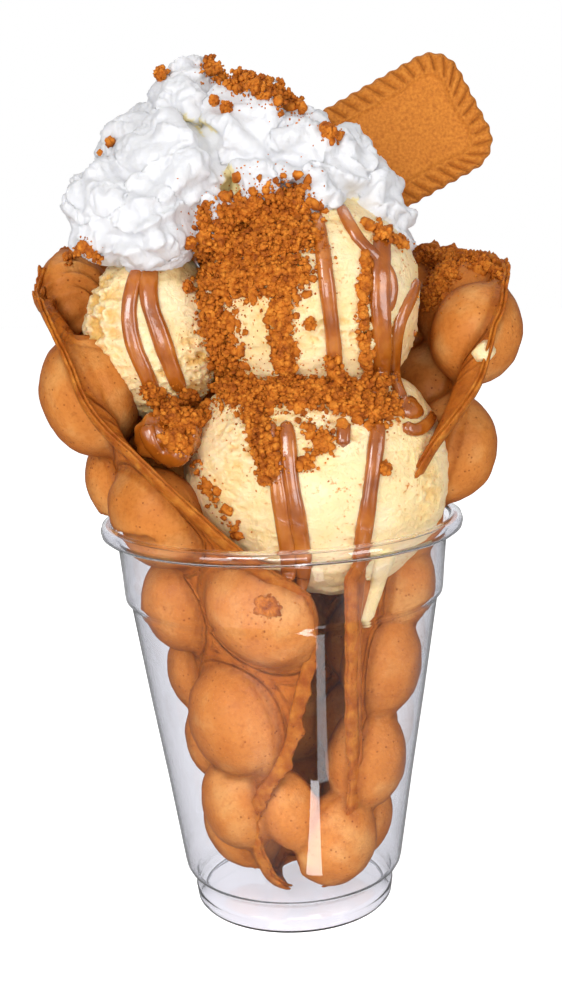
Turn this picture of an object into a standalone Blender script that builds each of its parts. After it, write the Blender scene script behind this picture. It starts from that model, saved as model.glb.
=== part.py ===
"""A bubble waffle rolled into a cone and stood in a clear cup.

The cone holds three scoops of ice cream, whipped cream and a caramelised biscuit. Crumbs and
spread lie on the scoops and are one solid with them. Lengths are in millimetres until
to_metres() shrinks each finished mesh. The front is -Y, and the cup stands on z = 0.
"""
import math
import random

import bmesh
import bpy
from mathutils import Matrix, Vector, noise
from mathutils.bvhtree import BVHTree

METRES_PER_MM = 0.001
GAP = 0.35                      # least clear space between two toppings
ROOM = 0.6                      # how far a solid is swelled when it is cut from its neighbour
FRONT = Vector((0.0, -1.0, 0.0))
EYE_DISTANCE = 200.0            # how far in front the lines start that place the toppings

# The cup: (radius, height) round its wall, from the floor's underside out, up and back inside.
CUP_RIM_RADIUS = 49.0
CUP_HEIGHT = 109.0
CUP_SEGMENTS = 32
CUP_OUTSIDE = (
    (0.0, 3.0), (24.6, 3.0), (25.4, 0.0), (27.0, 0.0), (27.7, 0.8), (27.7, 9.0), (30.4, 12.0),
    (42.0, 87.0), (43.2, 88.4), (44.6, 103.6), (CUP_RIM_RADIUS - 0.7, 104.6),
    (CUP_RIM_RADIUS, 106.8), (47.4, CUP_HEIGHT - 0.4), (45.6, CUP_HEIGHT),
)
CUP_INSIDE = (
    (44.3, 107.8), (43.8, 103.2), (42.4, 88.9), (41.2, 87.4), (29.7, 12.6), (27.0, 9.6),
    (26.6, 3.9), (0.0, 3.9),
)
CUP_ROOM = (                    # what the waffle keeps out of: the floor, wall and lip, swelled
    (0.0, 4.8), (25.8, 4.8), (26.3, 9.8), (29.1, 12.8), (40.6, 87.6), (41.8, 89.1), (43.2, 103.2),
    (43.5, 107.9), (44.9, 109.8), (47.7, 109.8), (49.8, 107.6), (49.8, 1.0),
    (0.0, 1.0),
)

# The rolled sheet: its middle radius and its axis at each height.
SHEET_RADIUS = (
    (5.0, 5.0), (10.0, 10.5), (22.0, 16.5), (45.0, 21.5), (68.0, 25.5), (87.0, 29.0),
    (100.0, 31.5), (108.0, 34.5), (118.0, 40.5), (130.0, 44.5), (145.0, 49.5), (155.0, 53.0),
    (165.0, 57.0), (185.0, 60.5),
)
SHEET_AXIS_X = ((5.0, 2.5), (30.0, 1.8), (68.0, 1.5), (87.0, 1.0), (110.0, 0.0), (185.0, 0.0))
BACK_SQUASH = ((100.0, 1.0), (125.0, 0.88), (150.0, 0.74), (185.0, 0.70))
SHEET_THICKNESS = 2.8
SHEET_BOTTOM = 7.0
SHEET_COLUMNS = 36
SHEET_ROWS = 11
# Angles are in degrees round the cone from the front, positive to the right (+X).
RIGHT_EDGE = ((5.0, 34.0), (40.0, 34.0), (60.0, 33.0), (85.0, 32.0), (102.0, 34.0))
LEFT_EDGE = (
    (5.0, 352.0), (18.0, 346.0), (31.0, 334.0), (42.0, 338.0), (50.0, 356.0), (66.0, 362.0),
    (78.0, 370.0), (94.0, 368.0),
)
TOP_EDGE = (
    (34.0, 99.0), (41.0, 111.0), (47.0, 122.0), (53.0, 131.0), (61.0, 139.5), (67.0, 147.0),
    (72.0, 155.0), (77.0, 164.0), (84.0, 169.0), (104.0, 174.0), (140.0, 178.0),
    (180.0, 180.0), (220.0, 180.0), (246.0, 180.0), (262.0, 174.0), (274.0, 169.0),
    (283.0, 166.0), (291.0, 161.0), (299.5, 146.5), (305.0, 138.0), (312.0, 131.5), (321.0, 124.5),
    (331.0, 117.0), (345.0, 108.0), (357.0, 101.0), (368.0, 95.0),
)
EDGE_FLARE = 5.0                # how far the free edge springs out
EDGE_FLARE_WIDTH = 13.0
EDGE_FLARE_START = (
    (10.0, 0.0), (40.0, 1.0), (105.0, 1.0), (117.0, 0.5), (130.0, 0.6), (146.0, 1.1),
    (158.0, 0.7), (170.0, 0.6),
)

# The bubbles: half their length up the sheet, half their width round it, half their depth.
BUBBLE_HALF = (13.6, 12.4, 11.2)
# In front: angle, height, how far out, tilt in the sheet, turn of the face, the three scales.
FRONT_BUBBLES = (
    (346.5, 88.5, 0.0, 62.0, -18.0, (1.16, 1.04, 1.00)),
    (319.0, 57.0, 0.3, 14.0, -8.0, (1.13, 1.14, 1.00)),
    (307.0, 32.0, 0.3, 0.0, 0.0, (1.00, 0.92, 0.95)),
    (252.0, 64.0, 0.0, 0.0, 0.0, (1.04, 1.00, 1.05)),
    (285.0, 87.0, 0.0, 8.0, 0.0, (1.00, 0.98, 1.00)),
    (302.0, 112.5, 0.0, 20.0, 0.0, (1.06, 1.12, 1.02)),
    (264.0, 118.5, 1.0, 0.0, 0.0, (1.00, 1.00, 1.00)),
    (282.0, 143.0, 0.6, -20.0, 8.0, (1.20, 1.12, 1.12)),
    (68.0, 68.5, 0.0, 0.0, 0.0, (1.10, 0.92, 0.96)),
    (61.0, 42.5, 0.3, 0.0, 20.0, (1.08, 0.90, 0.98)),
    (80.0, 89.5, 0.0, 0.0, 0.0, (0.98, 0.92, 0.96)),
    (36.0, 20.5, 0.0, 0.0, 0.0, (1.04, 0.94, 0.92)),
    (82.0, 106.0, 0.0, 0.0, 0.0, (0.94, 0.95, 0.84)),
    (91.0, 125.0, 3.0, 0.0, 0.0, (1.10, 1.00, 1.12)),
    (89.0, 155.0, 0.0, 10.0, 0.0, (1.02, 1.04, 1.08)),
    (249.0, 167.0, 0.0, 0.0, 0.0, (1.00, 1.05, 0.85)),
)
# Behind: height, first angle, step and number of each row.
BACK_ROWS = (
    (20.0, 108.0, 76.0, 3), (44.0, 122.0, 64.0, 3), (68.0, 124.0, 60.0, 2),
    (91.0, 128.0, 52.0, 3), (115.0, 122.0, 36.0, 4), (138.0, 118.0, 31.0, 5),
    (161.0, 113.0, 28.0, 5),
)

# The scoops: middle and the three half sizes.
SCOOPS = {
    "ice_cream_lower": ((9.5, -11.0, 121.0), (34.5, 28.0, 31.5)),
    "ice_cream_side": ((-31.0, -4.0, 158.0), (18.5, 18.0, 22.0)),
    "ice_cream_upper": ((9.5, -7.0, 165.0), (28.0, 26.0, 28.5)),
}
SCOOP_LUMPS = 0.9               # how far a scoop's face goes up and down
SCOOP_LUMP_SIZE = 14.0

# The whipped cream: the middle and the radius of each of its folds.
CREAM_FOLDS = (
    (-38.5, -12.0, 188.5, 14.5), (-40.0, 0.0, 193.0, 13.0), (-29.0, -17.0, 186.0, 13.0),
    (-22.0, -10.0, 197.0, 16.0), (-29.0, 4.0, 201.0, 15.0), (-19.0, 0.0, 210.0, 13.0),
    (-19.0, 3.0, 217.5, 9.0), (-6.0, -6.0, 205.0, 14.5), (6.0, -8.0, 199.0, 13.5),
    (16.0, -6.0, 196.5, 12.0), (25.0, -4.0, 191.0, 11.5), (31.0, -3.0, 184.0, 8.5),
    (0.0, 8.0, 200.0, 15.5), (17.0, 8.0, 194.0, 13.0), (-18.0, 13.0, 192.0, 15.5),
    (10.0, -14.0, 191.0, 9.5),
)
FOLD_TURN = 1.3                 # radians from fold to fold, so that no two faces lie alike

# The biscuit: a rounded bar with a notched edge, its middle, its slope and its lean.
BISCUIT_LENGTH = 62.0
BISCUIT_WIDTH = 34.0
BISCUIT_THICKNESS = 6.5
BISCUIT_CORNER = 7.0
BISCUIT_NOTCHES = 34
BISCUIT_NOTCH_DEPTH = 0.9
BISCUIT_BORDER = 4.5
BISCUIT_RECESS = 0.8
BISCUIT_MIDDLE = (28.2, 19.5, 202.6)
BISCUIT_SLOPE = 27.0
BISCUIT_LEAN = 4.0

# The spread: each strand's way down as (x, z) seen from the front, laid onto what is there.
SPREAD_HALF_WIDTH = 2.1
SPREAD_HALF_HEIGHT = 1.5
SPREAD_STEP = 7.0
SPREAD_SIDES = 6
SPREAD_END = 0.75               # how wide a strand's end is, against the rest
SPREAD_STRANDS = (
    ((9.0, 187.0), (12.3, 173.4), (14.6, 146.0)),
    ((18.0, 187.0), (27.6, 171.6), (25.3, 156.1), (24.4, 138.0)),
    ((36.5, 172.0), (33.2, 160.1), (29.9, 146.5)),
    ((-34.6, 173.0), (-36.9, 162.4), (-34.4, 146.0)),
    ((-29.1, 174.0), (-28.0, 164.7), (-23.7, 147.0)),
    ((-1.8, 134.1), (-1.6, 119.5), (0.8, 103.0)),
    ((3.4, 133.9), (3.6, 119.4), (5.6, 103.0)),
    ((23.8, 132.6), (22.0, 120.4), (16.6, 97.0)),
)

# The crumbs: (left, right, low, high) of each patch seen from the front, and how many clumps.
CRUMB_RADIUS = (2.3, 3.6)
CRUMB_STRETCH = (0.8, 1.2)
CRUMB_ROUGHNESS = (0.85, 1.15)
CRUMB_LIFT = 0.15               # how far out a clump's middle sits, in its own radius
CRUMB_REACH = 1.4               # how far its rough corners can go, in its own radius
CRUMB_CROWDING = 0.8            # how near two clumps come, in their joint radius
CRUMB_TRIES = 8                 # places drawn for each clump before it is left out
CRUMB_SEED = 7
CRUMB_PATCHES = (
    ((-15.0, 8.0, 145.0, 194.0), 20), ((-8.0, 32.0, 139.0, 152.0), 6),
    ((8.0, 31.0, 150.0, 190.0), 6), ((-12.0, 30.0, 129.0, 141.0), 9),
    ((-6.0, 4.0, 120.0, 134.0), 3), ((-34.0, -20.0, 128.0, 147.0), 3),
    ((-15.0, 12.0, 211.0, 222.0), 8), ((-34.0, -18.0, 205.0, 222.0), 2),
)

# How many triangles a solid keeps before its toppings join it.
TRIANGLES = {
    "waffle": 5300, "ice_cream_lower": 400, "ice_cream_side": 240, "ice_cream_upper": 380,
    "whipped_cream": 640,
}

WAFFLE_COLOUR = (0.46, 0.20, 0.065)
ICE_CREAM_COLOUR = (0.86, 0.70, 0.40)
CREAM_COLOUR = (0.90, 0.89, 0.86)
BISCUIT_COLOUR = (0.40, 0.16, 0.05)
CUP_COLOUR = (0.93, 0.95, 0.97)


def clear_scene():
    """Takes away what the new scene starts with."""
    for item in list(bpy.data.objects):
        bpy.data.objects.remove(item, do_unlink=True)


def curve(stations, place):
    """A smooth value between the given (place, value) stations."""
    if place <= stations[0][0]:
        return stations[0][1]
    if place >= stations[-1][0]:
        return stations[-1][1]
    index = max(i for i, station in enumerate(stations) if station[0] <= place)
    index = min(index, len(stations) - 2)

    def slope(i):
        low, high = max(i - 1, 0), min(i + 1, len(stations) - 1)
        return (stations[high][1] - stations[low][1]) / (stations[high][0] - stations[low][0])

    span = stations[index + 1][0] - stations[index][0]
    t = (place - stations[index][0]) / span
    start, end = stations[index][1], stations[index + 1][1]
    return (start * (2 * t ** 3 - 3 * t ** 2 + 1) + end * (3 * t ** 2 - 2 * t ** 3)
            + slope(index) * span * (t ** 3 - 2 * t ** 2 + t)
            + slope(index + 1) * span * (t ** 3 - t ** 2))


def new_object(name, verts, faces):
    """A mesh object from points and faces, with its faces turned outwards."""
    mesh = bpy.data.meshes.new(name)
    mesh.from_pydata([tuple(vert) for vert in verts], [], faces)
    item = bpy.data.objects.new(name, mesh)
    bpy.context.scene.collection.objects.link(item)
    work = bmesh.new()
    work.from_mesh(mesh)
    bmesh.ops.recalc_face_normals(work, faces=work.faces)
    work.to_mesh(mesh)
    work.free()
    return item


def combine(target, operation, tools):
    """Joins the tools to the target or cuts them from it, and takes the tools away.

    The result is left as triangles, so that a swelled copy of it has no bent faces.
    """
    group = bpy.data.collections.new("tools")
    bpy.context.scene.collection.children.link(group)
    for tool in tools:
        bpy.context.scene.collection.objects.unlink(tool)
        group.objects.link(tool)
    step = target.modifiers.new("combine", "BOOLEAN")
    step.operation = operation
    step.solver = "MANIFOLD"
    step.operand_type = "COLLECTION"
    step.collection = group
    bpy.context.view_layer.objects.active = target
    bpy.ops.object.modifier_apply(modifier=step.name)
    for tool in tools:
        bpy.data.objects.remove(tool, do_unlink=True)
    bpy.data.collections.remove(group)
    work = bmesh.new()
    work.from_mesh(target.data)
    bmesh.ops.triangulate(work, faces=work.faces)
    work.to_mesh(target.data)
    work.free()


def keep_largest(item):
    """Drops every loose scrap and keeps the largest body."""
    work = bmesh.new()
    work.from_mesh(item.data)
    left = set(work.verts)
    bodies = []
    while left:
        body, open_ends = set(), [left.pop()]
        while open_ends:
            vert = open_ends.pop()
            body.add(vert)
            for edge in vert.link_edges:
                other = edge.other_vert(vert)
                if other in left:
                    left.discard(other)
                    open_ends.append(other)
        bodies.append(body)
    bodies.sort(key=len)
    scraps = [vert for body in bodies[:-1] for vert in body]
    bmesh.ops.delete(work, geom=scraps, context="VERTS")
    work.to_mesh(item.data)
    work.free()


def thin_out(item):
    """Merges the item's smallest faces until it keeps its number of triangles."""
    count = sum(len(face.vertices) - 2 for face in item.data.polygons)
    step = item.modifiers.new("thin_out", "DECIMATE")
    step.ratio = min(1.0, TRIANGLES[item.name] / count)
    bpy.context.view_layer.objects.active = item
    bpy.ops.object.modifier_apply(modifier=step.name)


def room_for(item):
    """A slightly swelled copy of the item, to cut from its neighbour."""
    room = item.copy()
    room.data = item.data.copy()
    bpy.context.scene.collection.objects.link(room)
    swell = [vert.co + vert.normal * ROOM for vert in room.data.vertices]
    for vert, place in zip(room.data.vertices, swell):
        vert.co = place
    return room


def tree_of(item):
    """A search tree of the item's faces."""
    work = bmesh.new()
    work.from_mesh(item.data)
    tree = BVHTree.FromBMesh(work)
    work.free()
    return tree


def revolved(name, profile, segments):
    """The solid that the closed profile sweeps round the Z axis."""
    verts, rings = [], []
    for radius, height in profile:
        if radius == 0.0:
            rings.append([len(verts)] * segments)
            verts.append((0.0, 0.0, height))
            continue
        rings.append(list(range(len(verts), len(verts) + segments)))
        for step in range(segments):
            angle = 2.0 * math.pi * step / segments
            verts.append((radius * math.sin(angle), -radius * math.cos(angle), height))
    faces = []
    for index, ring in enumerate(rings):
        after = rings[(index + 1) % len(rings)]
        if ring[0] == ring[1] and after[0] == after[1]:
            continue
        for step in range(segments):
            turn = (step + 1) % segments
            corners = [ring[step], ring[turn], after[turn], after[step]]
            faces.append(list(dict.fromkeys(corners)))
    return new_object(name, verts, faces)


def build_cup():
    """The thin clear cup with its foot, its step and its rolled lip."""
    return revolved("cup", CUP_OUTSIDE + CUP_INSIDE, CUP_SEGMENTS)


def sheet_frame(angle, height):
    """The middle of the sheet there, with the ways round it, up it and out of it."""
    radius = curve(SHEET_RADIUS, height)
    lean = (curve(SHEET_RADIUS, height + 1.0) - curve(SHEET_RADIUS, height - 1.0)) / 2.0
    turn = math.radians(angle)
    outward = Vector((math.sin(turn), -math.cos(turn), 0.0))
    round_it = Vector((math.cos(turn), math.sin(turn), 0.0))
    up_it = (outward * lean + Vector((0.0, 0.0, 1.0))).normalized()
    out_of_it = (outward - Vector((0.0, 0.0, lean))).normalized()
    middle = outward * radius + Vector((curve(SHEET_AXIS_X, height), 0.0, height))
    if middle.y > 0.0:
        middle.y *= curve(BACK_SQUASH, height)
    return middle, round_it, up_it, out_of_it


def sheet_flare(angle, height, low, high, top):
    """How far the sheet springs out near its free edge."""
    round_it = math.radians(min(angle - low, high - angle)) * curve(SHEET_RADIUS, height)
    share = max(0.0, 1.0 - min(round_it, top - height) / EDGE_FLARE_WIDTH)
    return EDGE_FLARE * curve(EDGE_FLARE_START, height) * share * share


def build_sheet():
    """The rolled sheet, with two faces and a band of faces round its edge."""
    skins = ([], [])
    half = SHEET_THICKNESS / 2.0
    first, last = TOP_EDGE[0][0], TOP_EDGE[-1][0]
    for column in range(SHEET_COLUMNS + 1):
        share = column / SHEET_COLUMNS
        top = curve(TOP_EDGE, first + (last - first) * share)
        for row in range(SHEET_ROWS + 1):
            height = SHEET_BOTTOM + (top - SHEET_BOTTOM) * row / SHEET_ROWS
            low, high = curve(RIGHT_EDGE, height), curve(LEFT_EDGE, height)
            angle = low + (high - low) * share
            middle, _, _, out_of_it = sheet_frame(angle, height)
            middle = middle + out_of_it * sheet_flare(angle, height, low, high, top)
            skins[0].append(middle + out_of_it * half)
            skins[1].append(middle - out_of_it * half)
    tall = SHEET_ROWS + 1
    count = (SHEET_COLUMNS + 1) * tall
    faces = []
    for column in range(SHEET_COLUMNS):
        for row in range(SHEET_ROWS):
            a = column * tall + row
            faces.append((a, a + tall, a + tall + 1, a + 1))
            faces.append((a + 1 + count, a + tall + 1 + count, a + tall + count, a + count))
    border = [row for row in range(SHEET_ROWS)]
    border += [column * tall + SHEET_ROWS for column in range(SHEET_COLUMNS)]
    border += [SHEET_COLUMNS * tall + row for row in range(SHEET_ROWS, 0, -1)]
    border += [column * tall for column in range(SHEET_COLUMNS, 0, -1)]
    for index, start in enumerate(border):
        end = border[(index + 1) % len(border)]
        faces.append((start, end, end + count, start + count))
    return new_object("sheet", skins[0] + skins[1], faces)


def ball(subdivisions):
    """A round ball of radius 1 as points and faces."""
    work = bmesh.new()
    bmesh.ops.create_icosphere(work, subdivisions=subdivisions, radius=1.0)
    verts = [vert.co.copy() for vert in work.verts]
    faces = [[vert.index for vert in face.verts] for face in work.faces]
    work.free()
    return verts, faces


def build_bubble(angle, height, out, tilt, face_turn, scales):
    """One egg-shaped bubble of the waffle, through both sides of the sheet."""
    middle, round_it, up_it, out_of_it = sheet_frame(angle, height)
    middle = middle + out_of_it * out
    face = Matrix.Rotation(math.radians(face_turn), 3, up_it)
    round_it, out_of_it = face @ round_it, face @ out_of_it
    lean = Matrix.Rotation(math.radians(tilt), 3, out_of_it)
    round_it, up_it = lean @ round_it, lean @ up_it
    long, wide, deep = (half * scale for half, scale in zip(BUBBLE_HALF, scales))
    verts, faces = ball(3)
    places = [middle + up_it * (vert.z * long) + round_it * (vert.x * wide)
              + out_of_it * (vert.y * deep) for vert in verts]
    return new_object("bubble", places, faces)


def build_waffle():
    """The sheet and its bubbles as one solid, with room left for the cup."""
    waffle = build_sheet()
    waffle.name = "waffle"
    bubbles = [build_bubble(*bubble) for bubble in FRONT_BUBBLES]
    for height, first, step, number in BACK_ROWS:
        for index in range(number):
            angle = first + step * index
            bubbles.append(build_bubble(angle, height, 0.0, 0.0, 0.0, (1.0, 1.0, 1.0)))
    combine(waffle, "UNION", bubbles)
    thin_out(waffle)
    combine(waffle, "DIFFERENCE", [revolved("cup_room", CUP_ROOM, CUP_SEGMENTS)])
    keep_largest(waffle)
    return waffle


def build_scoop(name):
    """One lumpy scoop of ice cream."""
    middle, halves = SCOOPS[name]
    verts, faces = ball(4)
    places = []
    for vert in verts:
        place = Vector(middle) + Vector([vert[i] * halves[i] for i in range(3)])
        places.append(place + vert * noise.noise(place / SCOOP_LUMP_SIZE) * SCOOP_LUMPS)
    return new_object(name, places, faces)


def build_cream():
    """The whipped cream as a heap of soft folds."""
    folds = []
    for index, (x, y, z, radius) in enumerate(CREAM_FOLDS):
        verts, faces = ball(3)
        turn = Matrix.Rotation(index * FOLD_TURN, 3, "Z")
        folds.append(new_object("fold", [turn @ vert * radius + Vector((x, y, z))
                                         for vert in verts], faces))
    cream = folds.pop(0)
    cream.name = "whipped_cream"
    combine(cream, "UNION", folds)
    return cream


def bar_outline(length, width, corner, notch_depth):
    """The edge of a rounded bar whose evenly spaced points go in and out once a notch."""
    straight_x, straight_y = length - 2.0 * corner, width - 2.0 * corner
    bend = math.pi * corner / 2.0
    parts = [(straight_y, 0), (bend, 0), (straight_x, 1), (bend, 1), (straight_y, 2),
             (bend, 2), (straight_x, 3), (bend, 3)]
    whole = sum(part[0] for part in parts)
    count = BISCUIT_NOTCHES * 2
    points = []
    for step in range(count):
        along = whole * step / count
        index = 0
        while along > parts[index][0]:
            along -= parts[index][0]
            index += 1
        quarter = parts[index][1]
        half_x, half_y = straight_x / 2.0, straight_y / 2.0
        corners = [(half_x, half_y), (-half_x, half_y), (-half_x, -half_y), (half_x, -half_y)]
        core = Vector((*corners[quarter], 0.0))
        turn = quarter * math.pi / 2.0
        if index % 2:
            turn += along / corner
        else:
            back = Vector((math.sin(turn), -math.cos(turn), 0.0))
            core += back * (parts[index][0] - along)
        out = Vector((math.cos(turn), math.sin(turn), 0.0))
        points.append(core + out * (corner - notch_depth * (step % 2)))
    return points


def build_biscuit():
    """The biscuit bar with its notched edge and the sunk field inside its border."""
    half = BISCUIT_THICKNESS / 2.0
    rim = bar_outline(BISCUIT_LENGTH, BISCUIT_WIDTH, BISCUIT_CORNER, BISCUIT_NOTCH_DEPTH)
    field = bar_outline(BISCUIT_LENGTH - 2.0 * BISCUIT_BORDER,
                        BISCUIT_WIDTH - 2.0 * BISCUIT_BORDER,
                        BISCUIT_CORNER - BISCUIT_BORDER / 2.0, 0.0)
    levels = [(rim, -half), (rim, half), (field, half), (field, half - BISCUIT_RECESS)]
    slope, lean = math.radians(BISCUIT_SLOPE), math.radians(BISCUIT_LEAN)
    long = Vector((math.cos(slope), 0.0, math.sin(slope)))
    wide = Vector((-math.sin(slope), math.sin(lean), math.cos(slope))).normalized()
    out = long.cross(wide).normalized()
    verts = [Vector(BISCUIT_MIDDLE) + long * point.x + wide * point.y + out * depth
             for outline, depth in levels for point in outline]
    count = len(rim)
    faces = [list(range(count))[::-1]]
    for level in range(len(levels) - 1):
        for step in range(count):
            a, b = level * count + step, level * count + (step + 1) % count
            faces.append((a, b, b + count, a + count))
    faces.append([(len(levels) - 1) * count + step for step in range(count)])
    return new_object("biscuit", verts, faces)


def front_hit(x, z, trees):
    """What a line from the front meets first at x, z: its name, the place and the normal."""
    start = Vector((x, -EYE_DISTANCE, z))
    best = None
    for name, tree in trees.items():
        place, normal, _, distance = tree.ray_cast(start, -FRONT)
        if place is not None and (best is None or distance < best[0]):
            best = (distance, name, place, normal)
    return best[1:] if best else None


def is_clear(place, radius, name, trees, placed):
    """Whether a topping of that radius keeps off every other solid and its toppings."""
    for other, tree in trees.items():
        if other == name:
            continue
        if tree.find_nearest(place)[3] < radius + GAP:
            return False
    return all(other == name or (place - middle).length > radius + size + GAP
               for other, middle, size in placed)


def smooth_path(points):
    """Places along the strand's way, a fixed step apart."""
    lengths = [0.0]
    for before, after in zip(points, points[1:]):
        lengths.append(lengths[-1] + (Vector(after) - Vector(before)).length)
    across = [(along, point[0]) for along, point in zip(lengths, points)]
    down = [(along, point[1]) for along, point in zip(lengths, points)]
    count = max(2, round(lengths[-1] / SPREAD_STEP))
    return [(curve(across, lengths[-1] * i / count), curve(down, lengths[-1] * i / count))
            for i in range(count + 1)]


def tube(run):
    """A flat rounded strand through the places of the run."""
    sides = SPREAD_SIDES
    verts = []
    for index, (place, normal) in enumerate(run):
        before, after = run[max(index - 1, 0)][0], run[min(index + 1, len(run) - 1)][0]
        way = (after - before).normalized()
        side = way.cross(normal).normalized()
        lift = side.cross(way).normalized()
        size = SPREAD_END if index in (0, len(run) - 1) else 1.0
        for step in range(sides):
            angle = 2.0 * math.pi * step / sides
            verts.append(place + side * math.cos(angle) * SPREAD_HALF_WIDTH * size
                         + lift * math.sin(angle) * SPREAD_HALF_HEIGHT * size)
    faces = [list(range(sides))[::-1], list(range(len(verts) - sides, len(verts)))]
    for ring in range(len(run) - 1):
        for step in range(sides):
            a, b = ring * sides + step, ring * sides + (step + 1) % sides
            faces.append((a, b, b + sides, a + sides))
    return new_object("strand", verts, faces)


def lay_spread(trees, placed, toppings):
    """Lays every strand onto what it meets and parts it where it goes to another solid."""
    for strand in SPREAD_STRANDS:
        runs, last = [], None
        for x, z in smooth_path(strand):
            hit = front_hit(x, z, trees)
            free = hit and hit[0] in toppings
            free = free and is_clear(hit[1], SPREAD_HALF_WIDTH, hit[0], trees, placed)
            if not free:
                last = None
                continue
            if hit[0] != last:
                runs.append((hit[0], []))
                last = hit[0]
            runs[-1][1].append((hit[1], hit[2]))
            placed.append((hit[0], hit[1], SPREAD_HALF_WIDTH))
        for name, run in runs:
            if len(run) > 1:
                toppings[name].append(tube(run))


def crumb(place, radius, draw):
    """One rough clump of crumbs."""
    verts, faces = ball(1)
    stretch = Vector([draw.uniform(*CRUMB_STRETCH) for _ in range(3)])
    places = [place + Vector([vert[i] * stretch[i] for i in range(3)])
              * radius * draw.uniform(*CRUMB_ROUGHNESS) for vert in verts]
    return new_object("crumb", places, faces)


def lay_crumbs(trees, placed, toppings):
    """Scatters the clumps of crumbs over their patches."""
    draw = random.Random(CRUMB_SEED)
    for (left, right, low, high), number in CRUMB_PATCHES:
        laid = 0
        for _ in range(number * CRUMB_TRIES):
            hit = front_hit(draw.uniform(left, right), draw.uniform(low, high), trees)
            radius = draw.uniform(*CRUMB_RADIUS)
            if laid == number or not hit or hit[0] not in toppings:
                continue
            name, place, normal = hit
            crowded = any((place - middle).length < (radius + size) * CRUMB_CROWDING
                          for _, middle, size in placed)
            if crowded or not is_clear(place, radius * CRUMB_REACH, name, trees, placed):
                continue
            middle = place + normal * radius * CRUMB_LIFT
            toppings[name].append(crumb(middle, radius, draw))
            placed.append((name, place, radius * CRUMB_REACH))
            laid += 1


def paint(item, colour, roughness, alpha=1.0):
    """Gives the item its own material."""
    material = bpy.data.materials.new(item.name)
    material.use_nodes = True
    shader = material.node_tree.nodes["Principled BSDF"]
    shader.inputs["Base Color"].default_value = (*colour, 1.0)
    shader.inputs["Roughness"].default_value = roughness
    shader.inputs["Metallic"].default_value = 0.0
    shader.inputs["Alpha"].default_value = alpha
    material.diffuse_color = (*colour, alpha)
    item.data.materials.clear()
    item.data.materials.append(material)


def to_metres(item, smooth):
    """Shrinks the finished mesh to metres and shades it."""
    item.data.transform(Matrix.Scale(METRES_PER_MM, 4))
    for face in item.data.polygons:
        face.use_smooth = smooth
    item.data.update()


def main():
    clear_scene()
    cup = build_cup()
    waffle = build_waffle()
    biscuit = build_biscuit()
    fillings = [build_scoop(name) for name in SCOOPS] + [build_cream()]
    neighbours = [waffle, biscuit]
    for item in fillings:
        thin_out(item)
        combine(item, "DIFFERENCE", [room_for(other) for other in neighbours])
        keep_largest(item)
        neighbours.append(item)

    trees = {item.name: tree_of(item) for item in neighbours}
    toppings = {item.name: [] for item in fillings}
    placed = []
    lay_spread(trees, placed, toppings)
    lay_crumbs(trees, placed, toppings)
    for item in fillings:
        combine(item, "UNION", toppings[item.name])
        keep_largest(item)

    paint(cup, CUP_COLOUR, 0.08, 0.3)
    paint(waffle, WAFFLE_COLOUR, 0.55)
    paint(biscuit, BISCUIT_COLOUR, 0.8)
    for item in fillings:
        paint(item, CREAM_COLOUR if item.name == "whipped_cream" else ICE_CREAM_COLOUR, 0.5)
        to_metres(item, True)
    to_metres(cup, True)
    to_metres(waffle, True)
    to_metres(biscuit, False)


main()
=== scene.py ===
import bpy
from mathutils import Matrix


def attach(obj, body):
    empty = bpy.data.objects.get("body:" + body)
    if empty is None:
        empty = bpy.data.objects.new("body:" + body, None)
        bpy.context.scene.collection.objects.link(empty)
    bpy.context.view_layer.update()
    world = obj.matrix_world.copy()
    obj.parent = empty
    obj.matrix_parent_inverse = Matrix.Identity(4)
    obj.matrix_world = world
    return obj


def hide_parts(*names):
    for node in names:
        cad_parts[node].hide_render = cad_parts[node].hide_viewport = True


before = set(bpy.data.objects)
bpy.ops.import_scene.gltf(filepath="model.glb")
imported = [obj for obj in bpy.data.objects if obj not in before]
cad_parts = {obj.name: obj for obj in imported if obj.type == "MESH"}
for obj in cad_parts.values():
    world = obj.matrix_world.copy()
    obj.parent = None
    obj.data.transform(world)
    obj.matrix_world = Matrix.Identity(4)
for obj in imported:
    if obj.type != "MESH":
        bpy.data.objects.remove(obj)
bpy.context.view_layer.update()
print("The frame holds", sorted(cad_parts))

# %% The other modules
import math
import random

import bpy
import numpy as np
from mathutils import Matrix, Vector, noise
from mathutils.bvhtree import BVHTree

# %% [markdown]
# ## The bench
# A kitchen thing is measured in millimetres, and Blender's merge distances and remesh sizes
# are also easier to read there. So every piece is modelled on a bench where one unit is a
# millimetre, and serve() shrinks it to metres when it is put into the frame.
# %% Bench helpers
MM = 0.001


def alone(item):
    """Makes the item the only selected one, so that an operator acts on nothing else."""
    if bpy.context.object and bpy.context.object.mode != "OBJECT":
        bpy.ops.object.mode_set(mode="OBJECT")
    bpy.ops.object.select_all(action="DESELECT")
    item.select_set(True)
    bpy.context.view_layer.objects.active = item


def added(name):
    """Names what an operator has just added."""
    item = bpy.context.object
    item.name = name
    item.data.name = name
    return item


def add_ball(name, subdivisions, middle=(0, 0, 0), halves=(1, 1, 1), radius=1.0):
    """An icosphere, stretched to its half sizes."""
    bpy.ops.object.select_all(action="DESELECT")
    bpy.ops.mesh.primitive_ico_sphere_add(subdivisions=subdivisions, radius=radius,
                                          location=middle, scale=halves)
    return added(name)


def finish_with(item, kind, **settings):
    """Gives the item a modifier with those settings and applies it."""
    alone(item)
    step = item.modifiers.new(kind.lower(), kind)
    for name, value in settings.items():
        setattr(step, name, value)
    bpy.ops.object.modifier_apply(modifier=step.name)


def settled(item):
    """Moves an item's place, turn and size into its points."""
    alone(item)
    bpy.ops.object.transform_apply(location=True, rotation=True, scale=True)
    return item


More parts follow.
